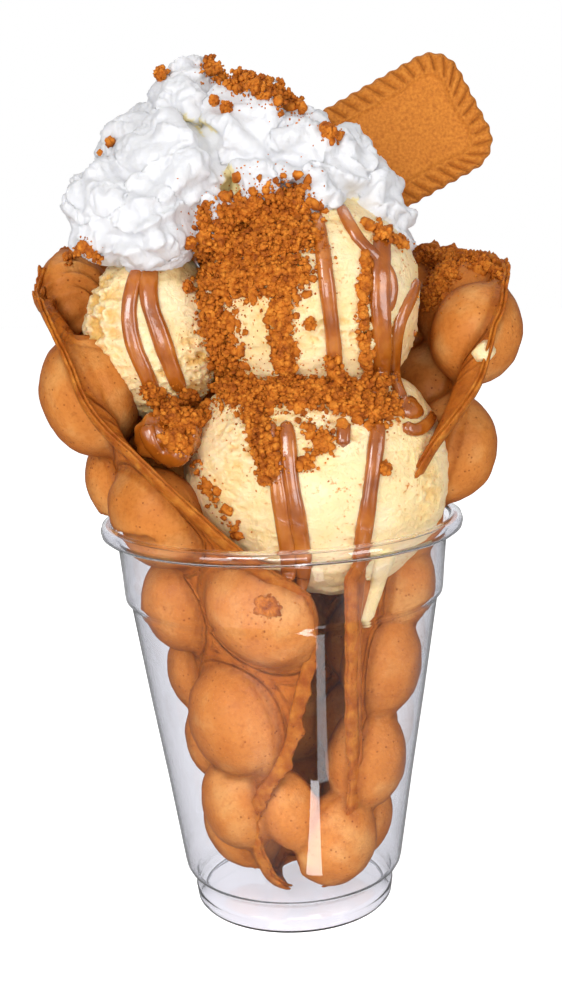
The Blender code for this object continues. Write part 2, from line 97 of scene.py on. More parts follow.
def joined(items, name):
    """One object from several, with their places applied."""
    alone(items[0])
    for item in items:
        item.select_set(True)
    bpy.ops.object.transform_apply(location=True, rotation=True, scale=True)
    bpy.ops.object.join()
    return added(name)


def turned_out(item):
    """Merges doubled points and points every face outwards."""
    alone(item)
    bpy.ops.object.mode_set(mode="EDIT")
    bpy.ops.mesh.select_all(action="SELECT")
    bpy.ops.mesh.remove_doubles(threshold=0.001)
    bpy.ops.mesh.normals_make_consistent(inside=False)
    bpy.ops.object.mode_set(mode="OBJECT")
    return item


def object_from(name, places, faces):
    """A mesh object from points and faces."""
    mesh = bpy.data.meshes.new(name)
    mesh.from_pydata(np.asarray(places).tolist(), [], faces)
    item = bpy.data.objects.new(name, mesh)
    bpy.context.scene.collection.objects.link(item)
    return item


def tube_faces(rings, sides):
    """The faces between rings of points that follow each other in one list."""
    return [(r * sides + i, r * sides + (i + 1) % sides, (r + 1) * sides + (i + 1) % sides,
             (r + 1) * sides + i) for r in range(rings - 1) for i in range(sides)]


def faces_of(item):
    """Each face of the item as the numbers of its points."""
    return [tuple(face.vertices) for face in item.data.polygons]


def rows_of(item, kind):
    """The item's points ("co") or the ways out of them ("normal"), as rows of x, y and z."""
    flat = np.empty(len(item.data.vertices) * 3)
    item.data.vertices.foreach_get(kind, flat)
    return flat.reshape(-1, 3)


def places_of(item):
    return rows_of(item, "co")


def normals_of(item):
    return rows_of(item, "normal")


def move_to(item, places):
    """Puts the item's points at new places."""
    item.data.vertices.foreach_set("co", np.ascontiguousarray(places, float).ravel())
    item.data.update()


def store(item, name, values):
    """Keeps one number for each point, for a material to read."""
    kept = item.data.attributes.new(name, "FLOAT", "POINT")
    kept.data.foreach_set("value", np.ascontiguousarray(values, np.float32))


def serve(piece, material, slot, *nodes):
    """Shrinks a finished piece to metres, paints it and puts it into the frame."""
    settled(piece)
    piece.data.transform(Matrix.Scale(MM, 4))
    piece.data.materials.clear()
    piece.data.materials.append(material)
    bpy.ops.object.shade_smooth()
    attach(piece, "root")
    if nodes:
        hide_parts(*nodes)
    print("Served", piece.name, "with", len(piece.data.polygons), "faces")
    return piece


# %% [markdown]
# ### Sums on many points at once
# curve() reads a smooth profile from a short table, and rough() is the soft noise behind all
# that is uneven. Each layer for rough_sum() is a size, the octaves, a seed and a height.
# %% Profiles and noise
def rough(places, size, octaves=2, seed=0.0):
    """Soft noise, about -1 to 1, at each place, with lumps of that size in millimetres."""
    stretch = np.broadcast_to(size, 3)
    spots = np.asarray(places) / stretch + (seed, seed * 1.7, -seed)
    return np.array([noise.fractal(spot, 1.0, 2.0, octaves) for spot in spots.tolist()])


def rough_sum(places, layers, seed=0.0):
    """Several layers of noise, added up."""
    return sum(rough(places, size, octaves, seed + own_seed) * height
               for size, octaves, own_seed, height in layers)


def capped(values):
    """The values, kept between 0 and 1."""
    return np.clip(values, 0.0, 1.0)


def unit(ways):
    """The same ways, each of length 1."""
    return ways / np.linalg.norm(ways, axis=-1, keepdims=True)


def curve(stations, place):
    """A smooth value at each place between the given (place, value) stations."""
    at, value = np.array(stations, float).T
    index = np.arange(len(at))
    low, high = np.maximum(index - 1, 0), np.minimum(index + 1, len(at) - 1)
    slope = (value[high] - value[low]) / (at[high] - at[low])
    place = np.clip(place, at[0], at[-1])
    i = np.clip(np.searchsorted(at, place, side="right") - 1, 0, len(at) - 2)
    span = at[i + 1] - at[i]
    t = (place - at[i]) / span
    return (value[i] * (2 * t ** 3 - 3 * t ** 2 + 1) + value[i + 1] * (3 * t ** 2 - 2 * t ** 3)
            + slope[i] * span * (t ** 3 - 2 * t ** 2 + t)
            + slope[i + 1] * span * (t ** 3 - t ** 2))


def lengths_along(points):
    """How far along a line in the picture each of its points is."""
    return np.concatenate([[0.0], np.cumsum(np.hypot(*np.diff(np.array(points).T)))])


# %% [markdown]
# ## The camera
# The camera comes early, because the loose toppings are laid along its lines of sight: a
# strand of spread is given as the places it passes in the finished picture, and each line
# from the eye then lands it on the surface that carries it.
# %% The camera and its lines of sight
PICTURE_WIDTH, PICTURE_HEIGHT = 562, 1000
SENSOR = 36.0
LENS = 49.5
EYE = Vector((0.0, -364.2, 179.8))
LOOK_DOWN = math.radians(10.53)
ROLL = math.radians(-2.09)

ahead = Vector((0.0, math.cos(LOOK_DOWN), -math.sin(LOOK_DOWN)))
level = ahead.cross(Vector((0.0, 0.0, 1.0))).normalized()
upright = level.cross(ahead)
to_right = math.cos(ROLL) * level + math.sin(ROLL) * upright
to_top = -math.sin(ROLL) * level + math.cos(ROLL) * upright
pixels_ahead = LENS / SENSOR * PICTURE_HEIGHT


def sight(across, down):
    """The way from the eye through that place of the picture."""
    way = (ahead * pixels_ahead + to_right * (across - PICTURE_WIDTH / 2)
           + to_top * (PICTURE_HEIGHT / 2 - down))
    return way.normalized()


def seen(across, down, trees):
    """The place that the line of sight meets first, and the normal there."""
    way, best = sight(across, down), None
    for tree in trees.values():
        place, normal, _, distance = tree.ray_cast(EYE, way)
        if place is not None and (best is None or distance < best[0]):
            best = (distance, place, normal if normal.dot(way) < 0.0 else -normal)
    return best[1:] if best else None


lens = bpy.data.cameras.new("camera")
lens.lens, lens.sensor_width, lens.clip_start = LENS, SENSOR, 0.01
camera = bpy.data.objects.new("camera", lens)
scene = bpy.context.scene
scene.collection.objects.link(camera)
turn = Matrix((to_right, to_top, -ahead)).transposed().to_4x4()
camera.matrix_world = Matrix.Translation(EYE * MM) @ turn
scene.camera = camera
print("The eye is", round((EYE - Vector((0, 0, 115))).length), "mm from the middle")

# %% [markdown]
# ## The studio
# The set is a white table in a white room. A clear cup only shows where it bends or mirrors
# something of another brightness, so the room is lit in parts, as if grey card stood beside a
# glass. The Light Path node tells the rays apart: what the eye sees straight or
# through the cup is white, what gloss mirrors is darker, and what lights the food is darker
# still, so that the lamps shape it. Light that a thin wall has mirrored twice has been through
# it, and counts as through.
# %% Node helpers
def colour(code):
    """The linear colour of an sRGB hex code."""
    parts = [int(code[i:i + 2], 16) / 255.0 for i in (1, 3, 5)]
    linear = [p / 12.92 if p <= 0.04045 else ((p + 0.055) / 1.055) ** 2.4 for p in parts]
    return (*linear, 1.0)


def wire(tree, node, inputs):
    """Sets each input, or links it where the value is another node's output."""
    for name, value in inputs.items():
        if isinstance(value, bpy.types.NodeSocket):
            tree.links.new(value, node.inputs[name])
        else:
            node.inputs[name].default_value = value
    return node


def add_node(tree, kind, inputs=None, **settings):
    """Adds a node, sets it, and sets or links its inputs."""
    node = tree.nodes.new(kind)
    for name, value in settings.items():
        setattr(node, name, value)
    return wire(tree, node, inputs or {})


def ramp(tree, value, *stops):
    """A colour ramp over the value, from (place, hex colour) stops."""
    node = add_node(tree, "ShaderNodeValToRGB", {0: value})
    elements = node.color_ramp.elements
    while len(elements) < len(stops):
        elements.new(0.5)
    for element, (place, code) in zip(elements, stops):
        element.position, element.color = place, colour(code)
    return node.outputs["Color"]


def arithmetic(tree, operation, first, second=0.0):
    """One number from two."""
    return add_node(tree, "ShaderNodeMath", {0: first, 1: second}, operation=operation).outputs[0]


def ray_kinds(tree):
    """Whether a ray comes straight from the eye, from it through the cup, or off gloss."""
    def both(first, second):
        return arithmetic(tree, "MULTIPLY", first, second)

    path = add_node(tree, "ShaderNodeLightPath").outputs
    fresh = arithmetic(tree, "LESS_THAN", path["Diffuse Depth"], 0.5)
    mirrored = both(arithmetic(tree, "COMPARE", path["Glossy Depth"], 1.0), fresh)
    again = both(arithmetic(tree, "GREATER_THAN", path["Glossy Depth"], 1.5),
                 path["Is Glossy Ray"])
    through = both(arithmetic(tree, "MAXIMUM", path["Is Transmission Ray"], again), fresh)
    through = both(through, arithmetic(tree, "SUBTRACT", 1.0, mirrored))
    return path["Is Camera Ray"], through, mirrored


def by_ray(tree, kinds, levels):
    """The one of the levels that goes with the kind of ray; the last is for all others."""
    total = other = levels[-1]
    for kind, level in zip(kinds, levels):
        share = arithmetic(tree, "MULTIPLY", kind, level - other)
        total = arithmetic(tree, "ADD", total, share)
    return total


# %% White room and pale table
# Levels for what is seen straight, through the cup and mirrored, and for all other light.
WALL_LIGHT = (1.0, 1.0, 0.70, 0.27)
TABLE_TONE = (0.9, 0.63, 0.04, 0.9)
TABLE_GLOW = (0.80, 0.70, 0.06, 0.26)
CARDS = ((0.0, "#ffffff"), (0.36, "#ffffff"), (0.50, "#b4b4be"), (0.85, "#a2a2ac"),
         (1.0, "#dcdce0"))     # from the front and back of the room to its sides
TABLE_SIZE, TABLE_DROP = 6.0, 0.0004    # metres
WHITE = (1, 1, 1, 1)

world = bpy.data.worlds.new("white_room")
world.use_nodes = True
scene.world = world
room = world.node_tree
room.nodes.clear()
kinds = ray_kinds(room)
way = add_node(room, "ShaderNodeTexCoord").outputs["Generated"]
sideways = add_node(room, "ShaderNodeSeparateXYZ", {0: way}).outputs["X"]
cards = ramp(room, arithmetic(room, "ABSOLUTE", sideways), *CARDS)
walls = add_node(room, "ShaderNodeBackground",
                 {"Color": cards, "Strength": by_ray(room, kinds, WALL_LIGHT)})
white = add_node(room, "ShaderNodeBackground", {"Color": WHITE, "Strength": 1.0})
mixed = add_node(room, "ShaderNodeMixShader",
                 {0: kinds[0], 1: walls.outputs[0], 2: white.outputs[0]})
add_node(room, "ShaderNodeOutputWorld", {"Surface": mixed.outputs[0]})

bpy.ops.mesh.primitive_plane_add(size=TABLE_SIZE, location=(0.0, 0.0, -TABLE_DROP))
floor = added("table")
table_top = bpy.data.materials.new("white_lacquered_table")
table_top.use_nodes = True
lacquer = table_top.node_tree
kinds = ray_kinds(lacquer)
tone = by_ray(lacquer, kinds, TABLE_TONE)
grey = add_node(lacquer, "ShaderNodeCombineColor", {0: tone, 1: tone, 2: tone}).outputs[0]
wire(lacquer, lacquer.nodes["Principled BSDF"], {
    "Base Color": grey, "Roughness": 0.35, "Emission Color": WHITE,
    "Emission Strength": by_ray(lacquer, kinds, TABLE_GLOW)})
floor.data.materials.append(table_top)
scene.view_settings.view_transform = "Standard"
scene.view_settings.look = "None"
print("The table is", TABLE_SIZE, "m wide")

# %% [markdown]
# Five large soft boxes light the food. The cup's wall also mirrors narrow bright strips that
# lie flat on the table, out of view: they draw the tall glints down its front.
# %% The lamps
SOFT_BOXES = {                  # place, height of the point it faces, width, height, power
    "key_box": ((-0.38, -0.90, 0.60), 0.13, 0.42, 0.42, 5.2),
    "front_box": ((0.05, -1.20, 0.20), 0.13, 0.5, 0.4, 3.2),
    "left_box": ((-0.72, -0.85, 0.22), 0.12, 0.4, 0.6, 3.0),
    "right_box": ((0.80, -0.65, 0.32), 0.12, 0.4, 0.6, 3.4),
    "top_box": ((0.0, 0.25, 0.95), 0.15, 0.6, 0.5, 1.9),
}
STRIPS = {                      # across, along, width, length, power
    "near_strip": (0.0195, -0.066, 0.0100, 0.042, 0.0060),
    "near_middle": (0.0195, -0.066, 0.0075, 0.041, 0.0050),
    "near_core": (0.0195, -0.066, 0.0045, 0.040, 0.0030),
    "far_strip": (0.047, -0.107, 0.014, 0.056, 0.0045),
    "far_core": (0.050, -0.104, 0.006, 0.048, 0.0015),
}
STRIP_HEIGHT = 0.0012           # metres over the table
STRIP_TURN = math.radians(22.0)


def lamp(name, place, width, height, power):
    """A rectangular lamp in metres that the eye doesn't see."""
    light = bpy.data.lights.new(name, "AREA")
    light.shape, light.size, light.size_y, light.energy = "RECTANGLE", width, height, power
    item = bpy.data.objects.new(name, light)
    scene.collection.objects.link(item)
    item.location = place
    item.visible_camera = False
    return item


for name, (place, aim, *size_and_power) in SOFT_BOXES.items():
    facing = Vector((0.0, 0.0, aim)) - Vector(place)
    lamp(name, place, *size_and_power).rotation_euler = facing.to_track_quat("-Z", "Y").to_euler()
for name, (across, along, *size_and_power) in STRIPS.items():
    strip = lamp(name, (across, along, STRIP_HEIGHT), *size_and_power)
    strip.rotation_euler = (math.pi, 0.0, STRIP_TURN)
    strip.visible_diffuse = False
print("The set has", len(bpy.data.lights), "lamps")


# %% [markdown]
# ## Materials
# Each material is a Principled shader, wired to patterns and to a bump built from one or two
# noises. Patterns read Object coordinates, which are in metres, so per_mm() turns a real
# feature size into a texture scale. Light goes a little way into all food, which is the
# shader's subsurface part: scattering() gives its share and its depths in metres.
# %% Material helpers
def per_mm(size):
    """The texture scale that gives features about that many millimetres across."""
    return 1.0 / (size * MM)


def new_material(name):
    """An empty Principled material, its node tree, its shader and the place of the surface."""
    material = bpy.data.materials.new(name)
    material.use_nodes = True
    tree = material.node_tree
    place = add_node(tree, "ShaderNodeTexCoord").outputs["Object"]
    return material, tree, tree.nodes["Principled BSDF"], place


def grain(tree, place, size, detail=3.0, warp=0.0):
    """Noise with features of that size in millimetres."""
    inputs = {"Vector": place, "Scale": per_mm(size), "Detail": detail, "Distortion": warp}
    return add_node(tree, "ShaderNodeTexNoise", inputs).outputs["Fac"]


def blend_in(tree, share, first, second, way="MIX"):
    """Mixes two colours by a share."""
    inputs = {"Factor": share, 6: first, 7: second}
    return add_node(tree, "ShaderNodeMix", inputs, data_type="RGBA", blend_type=way).outputs[2]


def raised(tree, height, depth, under=None):
    """A bump of that depth in millimetres, on top of an earlier one."""
    inputs = {"Height": height, "Distance": depth * MM, "Strength": 1.0}
    if under:
        inputs["Normal"] = under
    return add_node(tree, "ShaderNodeBump", inputs).outputs["Normal"]


def attribute(tree, name):
    """A number that a piece keeps for each of its points."""
    return add_node(tree, "ShaderNodeAttribute", attribute_name=name).outputs["Fac"]


def scattering(share, *depths):
    """How much light goes in, and how deep its red, green and blue go."""
    return {"Subsurface Weight": share, "Subsurface Radius": depths, "Subsurface Scale": 1.0}


# %% [markdown]
# ### Baked batter
# The waffle is an egg batter baked in an oiled iron. The iron presses its bubbles smooth, so
# their crowns are tan with a soft shine and pin-prick pores. Their sides, where they turn away
# from the eye, are painted a redder brown as painted shade.
# The thin web between them gets hotter and goes a deeper orange, and its free edge browns.
# %% Baked batter
IRON_RINGS = ((0.14, "#000000"), (0.20, "#ffffff"), (0.26, "#000000"), (0.36, "#000000"),
              (0.43, "#d0d0d0"), (0.50, "#000000"), (0.62, "#000000"), (0.69, "#b0b0b0"),
              (0.76, "#000000"))


def baked_batter():
    material, tree, shader, place = new_material("baked_egg_batter")
    crown = ramp(tree, grain(tree, place, 11.0, 4.0), (0.30, "#d27f36"), (0.50, "#de8d42"),
                 (0.70, "#ebaa62"))
    # Painted shade: towards the edge that the eye sees, each bubble is mixed to a darker
    # red-brown.
    painted_limb_shade = add_node(tree, "ShaderNodeLayerWeight", {"Blend": 0.35}).outputs["Facing"]
    painted_limb_shade = ramp(tree, painted_limb_shade, (0.24, "#000000"), (0.82, "#e4e4e4"))
    crown = blend_in(tree, painted_limb_shade, crown, colour("#9a4a0c"))
    web = ramp(tree, grain(tree, place, 5.0), (0.35, "#954a12"), (0.65, "#bb6820"))
    base = blend_in(tree, attribute(tree, "web"), crown, web)
    # Painted shade: the crease round each bubble is mixed towards a dark brown.
    base = blend_in(tree, attribute(tree, "crease_shade"), base, colour("#6e3208"))
    rim = ramp(tree, grain(tree, place, 3.2, 4.0), (0.32, "#964a0f"), (0.50, "#aa5e1a"),
               (0.72, "#c27a2c"))
    base = blend_in(tree, attribute(tree, "rim"), base, rim)
    scorch = ramp(tree, grain(tree, place, 2.2, 5.0, 0.8), (0.60, "#ffffff"), (0.74, "#a8703c"))
    base = blend_in(tree, 0.3, base, scorch, "MULTIPLY")
    cells = {"Vector": place, "Scale": per_mm(1.7), "Randomness": 1.0}
    pores = add_node(tree, "ShaderNodeTexVoronoi", cells).outputs["Distance"]
    few = ramp(tree, grain(tree, place, 6.0, 2.0), (0.42, "#000000"), (0.55, "#ffffff"))
    pits = ramp(tree, pores, (0.0, "#5a3414"), (0.10, "#a8713f"), (0.20, "#ffffff"))
    base = blend_in(tree, few, base, blend_in(tree, 0.7, base, pits, "MULTIPLY"))
    fleck = ramp(tree, grain(tree, place, 1.1, 3.0), (0.36, "#c9a074"), (0.52, "#ffffff"))
    base = blend_in(tree, 0.2, base, fleck, "MULTIPLY")
    hole = ramp(tree, pores, (0.0, "#000000"), (0.20, "#ffffff"))
    fine = raised(tree, grain(tree, place, 0.9, 4.0), 0.24, raised(tree, hole, 0.14))
    fine = raised(tree, ramp(tree, attribute(tree, "ring"), *IRON_RINGS), 0.9, fine)
    wire(tree, shader, {
        "Base Color": base, "Normal": raised(tree, grain(tree, place, 5.0), 0.45, fine),
        "Roughness": 0.5, "Specular IOR Level": 0.05, "Coat Weight": 0.15,
        "Coat Roughness": 0.35, **scattering(0.10, 0.0016, 0.0007, 0.0003)})
    return material


BATTER = baked_batter()
print("Made", BATTER.name)

# %% [markdown]
# ### Clear cup plastic
# Dessert cups are vacuum-formed from clear PET sheet about half a millimetre thick: glossy,
# colourless, IOR 1.57. Light that goes through to cast a shadow is let straight through.
# %% Clear cup plastic
def clear_pet():
    material, tree, shader, _ = new_material("clear_formed_pet")
    wire(tree, shader, {"Base Color": colour("#f7f7fb"), "Roughness": 0.0, "IOR": 1.57,
                        "Transmission Weight": 1.0})
    through = add_node(tree, "ShaderNodeBsdfTransparent", {"Color": (0.97, 0.97, 0.98, 1.0)})
    shadow = add_node(tree, "ShaderNodeLightPath").outputs["Is Shadow Ray"]
    mixed = add_node(tree, "ShaderNodeMixShader",
                     {0: shadow, 1: shader.outputs[0], 2: through.outputs[0]})
    wire(tree, tree.nodes["Material Output"], {"Surface": mixed.outputs[0]})
    return material


CLEAR = clear_pet()
print("Made", CLEAR.name)

# %% [markdown]
# ### Ice cream, whipped cream, caramel, crumbs and biscuit
# Ice cream and whipped cream scatter light inside, so they get a strong subsurface share.
# Caramel spread is a dense glossy syrup. Crumbs and biscuit are dry and matt.
# %% Frozen and whipped cream
def vanilla_ice():
    material, tree, shader, place = new_material("vanilla_ice_cream")
    base = ramp(tree, grain(tree, place, 12.0, 4.0), (0.32, "#f0d193"), (0.52, "#f3d8a4"),
                (0.74, "#f7e2b8"))
    dust = ramp(tree, grain(tree, place, 1.1, 5.0), (0.58, "#ffffff"), (0.70, "#d8974a"))
    base = blend_in(tree, attribute(tree, "dust"), base,
                    blend_in(tree, 1.0, base, dust, "MULTIPLY"))
    # Painted shade: the deeper crags of the torn patches are painted a darker yellow.
    base = blend_in(tree, attribute(tree, "crag"), base, colour("#e8b968"))
    fine = raised(tree, grain(tree, place, 0.7, 4.0), 0.14)
    wire(tree, shader, {
        "Base Color": base, "Roughness": 0.38,
        "Normal": raised(tree, grain(tree, place, 2.6, 5.0, 0.8), 0.7, fine),
        **scattering(0.32, 0.0030, 0.0017, 0.0007)})
    return material


def dairy_foam():
    material, tree, shader, place = new_material("whipped_dairy_cream")
    # Painted shade: the cream is painted greyer, then yellower, where it lies in a hollow.
    base = ramp(tree, attribute(tree, "valley_shade"), (0.0, "#d7d7d9"), (0.5, "#d8d4c6"),
                (1.0, "#dccd98"))
    wire(tree, shader, {
        "Base Color": base, "Normal": raised(tree, grain(tree, place, 0.8, 4.0), 0.14),
        "Roughness": 0.5, **scattering(0.25, 0.0011, 0.0010, 0.0008)})
    return material


ICE, FOAM = vanilla_ice(), dairy_foam()
print("Made", ICE.name, "and", FOAM.name)


# %% Caramel, crumbs and biscuit
def caramel_syrup():
    material, tree, shader, place = new_material("caramel_spread")
    base = ramp(tree, grain(tree, place, 7.0), (0.3, "#88430b"), (0.52, "#a65815"),
                (0.74, "#c2762b"))
    wire(tree, shader, {
        "Base Color": base, "Normal": raised(tree, grain(tree, place, 2.5), 0.25),
        "Roughness": 0.22, "Coat Weight": 0.9, "Coat Roughness": 0.06,
        **scattering(0.06, 0.003, 0.0012, 0.0004)})
    return material


def baked_crumb(name, dark, middle, light, size, depth):
    material, tree, shader, place = new_material(name)
    base = ramp(tree, grain(tree, place, size, 4.0), (0.30, dark), (0.5, middle), (0.7, light))
    # Painted shade: where a piece keeps a groove number, as the biscuit does between its ribs,
    # the colour is mixed towards a dark brown.
    base = blend_in(tree, attribute(tree, "groove"), base, colour("#91500f"))
    wire(tree, shader, {
        "Base Color": base, "Normal": raised(tree, grain(tree, place, 0.45, 4.0), depth),
        "Roughness": 0.75, "Specular IOR Level": 0.3})
    return material


SPREAD = caramel_syrup()
CRUMB = baked_crumb("biscuit_crumb", "#924607", "#bc6711", "#da8729", 2.2, 0.22)
BISCUIT = baked_crumb("caramelised_biscuit", "#ad621c", "#c27424", "#ce822e", 0.8, 0.26)
print("Made", SPREAD.name, CRUMB.name, BISCUIT.name)

# %% [markdown]
# ## The cup
# The real cup is drawn from one flat sheet: a ring foot, a ledge, a leaning wall, a step near
# the top and a rolled lip. A circle is extruded upwards ring by ring along that profile, and
# Solidify then gives the sheet its thickness.
# %% The clear cup
CUP_SIDES = 144
CUP_SHEET = 0.55
CUP_PROFILE = (                 # radius and height, from the middle of the floor to the lip
    (14.0, 2.6), (24.0, 2.6), (24.9, 2.2), (25.4, 0.9), (26.0, 0.3), (26.8, 0.3), (27.3, 0.9),
    (27.45, 2.0), (27.4, 3.2), (27.7, 3.8),
    (27.4, 4.4), (27.5, 7.6), (27.9, 8.6), (29.6, 9.9), (30.1, 10.8), (30.4, 12.2), (33.9, 36.0),
    (37.7, 60.0), (41.4, 85.0), (41.9, 86.6), (42.9, 87.6), (43.1, 88.8), (43.6, 96.0),
    (44.3, 103.4), (45.2, 104.3), (47.4, 104.6), (48.3, 105.3), (48.6, 106.6), (48.2, 107.9),
    (47.0, 108.6), (45.6, 108.4), (44.9, 107.6),
)


def clear_cup():
    (radius, height), after = CUP_PROFILE[0], CUP_PROFILE[1:]
    bpy.ops.object.select_all(action="DESELECT")
    bpy.ops.mesh.primitive_circle_add(vertices=CUP_SIDES, radius=radius, fill_type="TRIFAN",
                                      location=(0.0, 0.0, height))
    cup = added("clear_cup")
    bpy.ops.object.mode_set(mode="EDIT")
    bpy.ops.mesh.select_all(action="SELECT")
    bpy.ops.mesh.region_to_loop()
    for next_radius, next_height in after:
        bpy.ops.mesh.extrude_edges_move(
            TRANSFORM_OT_translate={"value": (0.0, 0.0, next_height - height)})
        share = next_radius / radius
        bpy.ops.transform.resize(value=(share, share, 1.0),
                                 center_override=(0.0, 0.0, next_height))
        radius, height = next_radius, next_height
    bpy.ops.object.mode_set(mode="OBJECT")
    finish_with(turned_out(cup), "SOLIDIFY", thickness=CUP_SHEET, offset=-1.0)
    return cup


serve(clear_cup(), CLEAR, "cup", "cup")

# %% [markdown]
# ## The waffle
# An egg-waffle iron bakes a thin web with a bubble through it every 30 mm or so. The warm
# waffle is rolled into a cone that stays open in front. Here the web is a fine grid rolled
# by a formula, each bubble is a sphere stretched in place, and a voxel remesh melts them
# together as the batter does. The real thing is then in the small print: the rings that the
# iron leaves round each bubble, the flat spots against the cup and the uneven free edge.
# %% The rolled web
SHEET_RADIUS = (                # height and radius
    (5, 5), (10, 10.5), (22, 16.5), (45, 21.5), (68, 25.5), (87, 29), (100, 31.5), (108, 34.5),
    (118, 40.5), (130, 44.5), (145, 49.5), (155, 53), (165, 57), (185, 60.5),
)
SHEET_AXIS_X = ((5, 2.5), (30, 1.8), (68, 1.5), (87, 1), (110, 0), (185, 0))
BACK_SQUASH = ((100, 1), (125, 0.88), (150, 0.74), (185, 0.70))
SHEET_THICKNESS = 2.2
SHEET_BOTTOM = 5.6
# Angles are in degrees round the cone from the front, positive to the right. The two edges
# give the angle at each height, and the top edge gives the height at each angle.
RIGHT_EDGE = ((5, 36), (40, 34), (50, 31), (60, 28.6), (80, 26.5), (102, 26.5), (116, 34))
LEFT_EDGE = (
    (5, 338), (12, 332), (18, 330.5), (28, 330), (36.7, 337), (45.4, 350), (54.8, 359),
    (61.3, 361.5), (70.2, 365.5), (78, 369), (94, 368),
)
TOP_EDGE = (
    (34, 99), (41, 111), (47, 122), (53, 131), (61, 139.5), (67, 147), (72, 155), (77, 164),
    (84, 169), (104, 174), (140, 178), (180, 180), (220, 180), (246, 180), (262, 174),
    (274, 169), (283, 166), (291, 161), (299.5, 146.5), (305, 138), (312, 131.5), (321, 124.5),
    (331, 117), (345, 108), (357, 101), (368, 95),
)
EDGE_FLARE = 5.0                # how far the free edge bends out, and from how far inside it
EDGE_FLARE_WIDTH = 13.0
EDGE_FLARE_START = (            # height and share of the flare
    (5, 0.5), (14, 1), (40, 1), (105, 1), (117, 0.5), (130, 0.6), (146, 1.1), (158, 0.7),
    (170, 0.6),
)
WEB_COLUMNS, WEB_ROWS = 200, 76
RUFFLE = 1.7                    # how far the top edge waves in and out
RUFFLE_LENGTH, RUFFLE_OCTAVES, RUFFLE_SEED = 13.0, 2, 3.0
RUFFLE_REACH = 9.0
RUFFLE_START = ((60, 0.1), (148, 0.25), (166, 1))


def rolled(angle, height):
    """The middle of the web there, with the ways round it, up it and out of it."""
    radius = curve(SHEET_RADIUS, height)
    lean = (curve(SHEET_RADIUS, height + 1.0) - curve(SHEET_RADIUS, height - 1.0)) / 2.0
    turn = np.radians(angle)
    flat = np.zeros_like(turn)
    outward = np.stack([np.sin(turn), -np.cos(turn), flat], -1)
    round_it = np.stack([np.cos(turn), np.sin(turn), flat], -1)
    up = np.array((0.0, 0.0, 1.0))
    up_it = unit(outward * lean[..., None] + up)
    out_of_it = unit(outward - up * lean[..., None])
    middle = outward * radius[..., None]
    middle[..., 0] += curve(SHEET_AXIS_X, height)
    middle[..., 2] += height
    behind = middle[..., 1] > 0.0
    middle[..., 1] = np.where(behind, middle[..., 1] * curve(BACK_SQUASH, height), middle[..., 1])
    return middle, round_it, up_it, out_of_it


def web_place(across, up):
    """The web at shares of its way round and its way up, and the way out of it."""
    first, last = TOP_EDGE[0][0], TOP_EDGE[-1][0]
    top = curve(TOP_EDGE, first + (last - first) * across)
    height = SHEET_BOTTOM + (top - SHEET_BOTTOM) * up
    low, high = curve(RIGHT_EDGE, height), curve(LEFT_EDGE, height)
    angle = low + (high - low) * across
    middle, _, _, out_of_it = rolled(angle, height)
    round_it = np.radians(np.minimum(angle - low, high - angle)) * curve(SHEET_RADIUS, height)
    share = np.clip(1.0 - np.minimum(round_it, top - height) / EDGE_FLARE_WIDTH, 0.0, None)
    flare = EDGE_FLARE * curve(EDGE_FLARE_START, height) * share ** 2
    near_top = np.exp(-(top - height) / RUFFLE_REACH)
    wave = rough(middle, RUFFLE_LENGTH, RUFFLE_OCTAVES, RUFFLE_SEED) * RUFFLE
    wave = wave * near_top * curve(RUFFLE_START, height)
    return middle + out_of_it * (flare + wave)[..., None], out_of_it


def rolled_web():
    bpy.ops.object.select_all(action="DESELECT")
    bpy.ops.mesh.primitive_grid_add(x_subdivisions=WEB_COLUMNS, y_subdivisions=WEB_ROWS, size=1.0)
    web = added("web")
    flat = places_of(web) + 0.5
    move_to(web, web_place(flat[:, 0], flat[:, 1])[0])
    finish_with(web, "SOLIDIFY", thickness=SHEET_THICKNESS, offset=0.0)
    return web


# %% [markdown]
# The bubbles in front are placed one by one, since each is seen. Behind, they go on in rows
# with the same spacing.
# %% The bubbles
BUBBLE_HALF = (13.6, 12.4, 11.2)
# In front: angle, height, how far out, tilt in the web, turn of the face, the three scales.
FRONT_BUBBLES = (
    (346.5, 88.5, 0, 62, -18, (1.16, 1.04, 1)),
    (319, 57, 0.3, 14, -8, (1.13, 1.14, 1)),
    (307, 32, 0.3, 0, 0, (1, 0.92, 0.95)),
    (351, 30.5, -2, 12, 0, (0.90, 0.62, 0.74)),
    (252, 64, 0, 0, 0, (1.04, 1, 1.05)),
    (285, 87, 0, 8, 0, (1, 0.98, 1)),
    (302, 112.5, 0, 20, 0, (1.06, 1.12, 1.02)),
    (264, 118.5, 1, 0, 0, (1, 1, 1)),
    (282, 143, 0.6, -20, 8, (1.20, 1.12, 1.12)),
    (68, 68.5, 0, 0, 0, (1.10, 0.92, 0.96)),
    (61, 42.5, 0.3, 0, 20, (1.08, 0.90, 0.98)),
    (80, 89.5, 0, 0, 0, (0.98, 0.92, 0.96)),
    (36, 20.5, 0, 0, 0, (1.04, 0.94, 0.92)),
    (82, 106, 0, 0, 0, (0.94, 0.95, 0.84)),
    (91, 125, 3, 0, 0, (1.10, 1, 1.12)),
    (89, 155, 0, 10, 0, (1.02, 1.04, 1.08)),
    (249, 167, 0, 0, 0, (1, 1.05, 0.85)),
)
# Behind: height, first angle, step and number of each row.
BACK_ROWS = (
    (20, 108, 76, 3), (44, 122, 64, 3), (68, 124, 60, 2), (91, 128, 52, 3), (115, 122, 36, 4),
    (138, 118, 31, 5), (161, 113, 28, 5),
)
BUBBLE_SEGMENTS, BUBBLE_RINGS = 40, 24


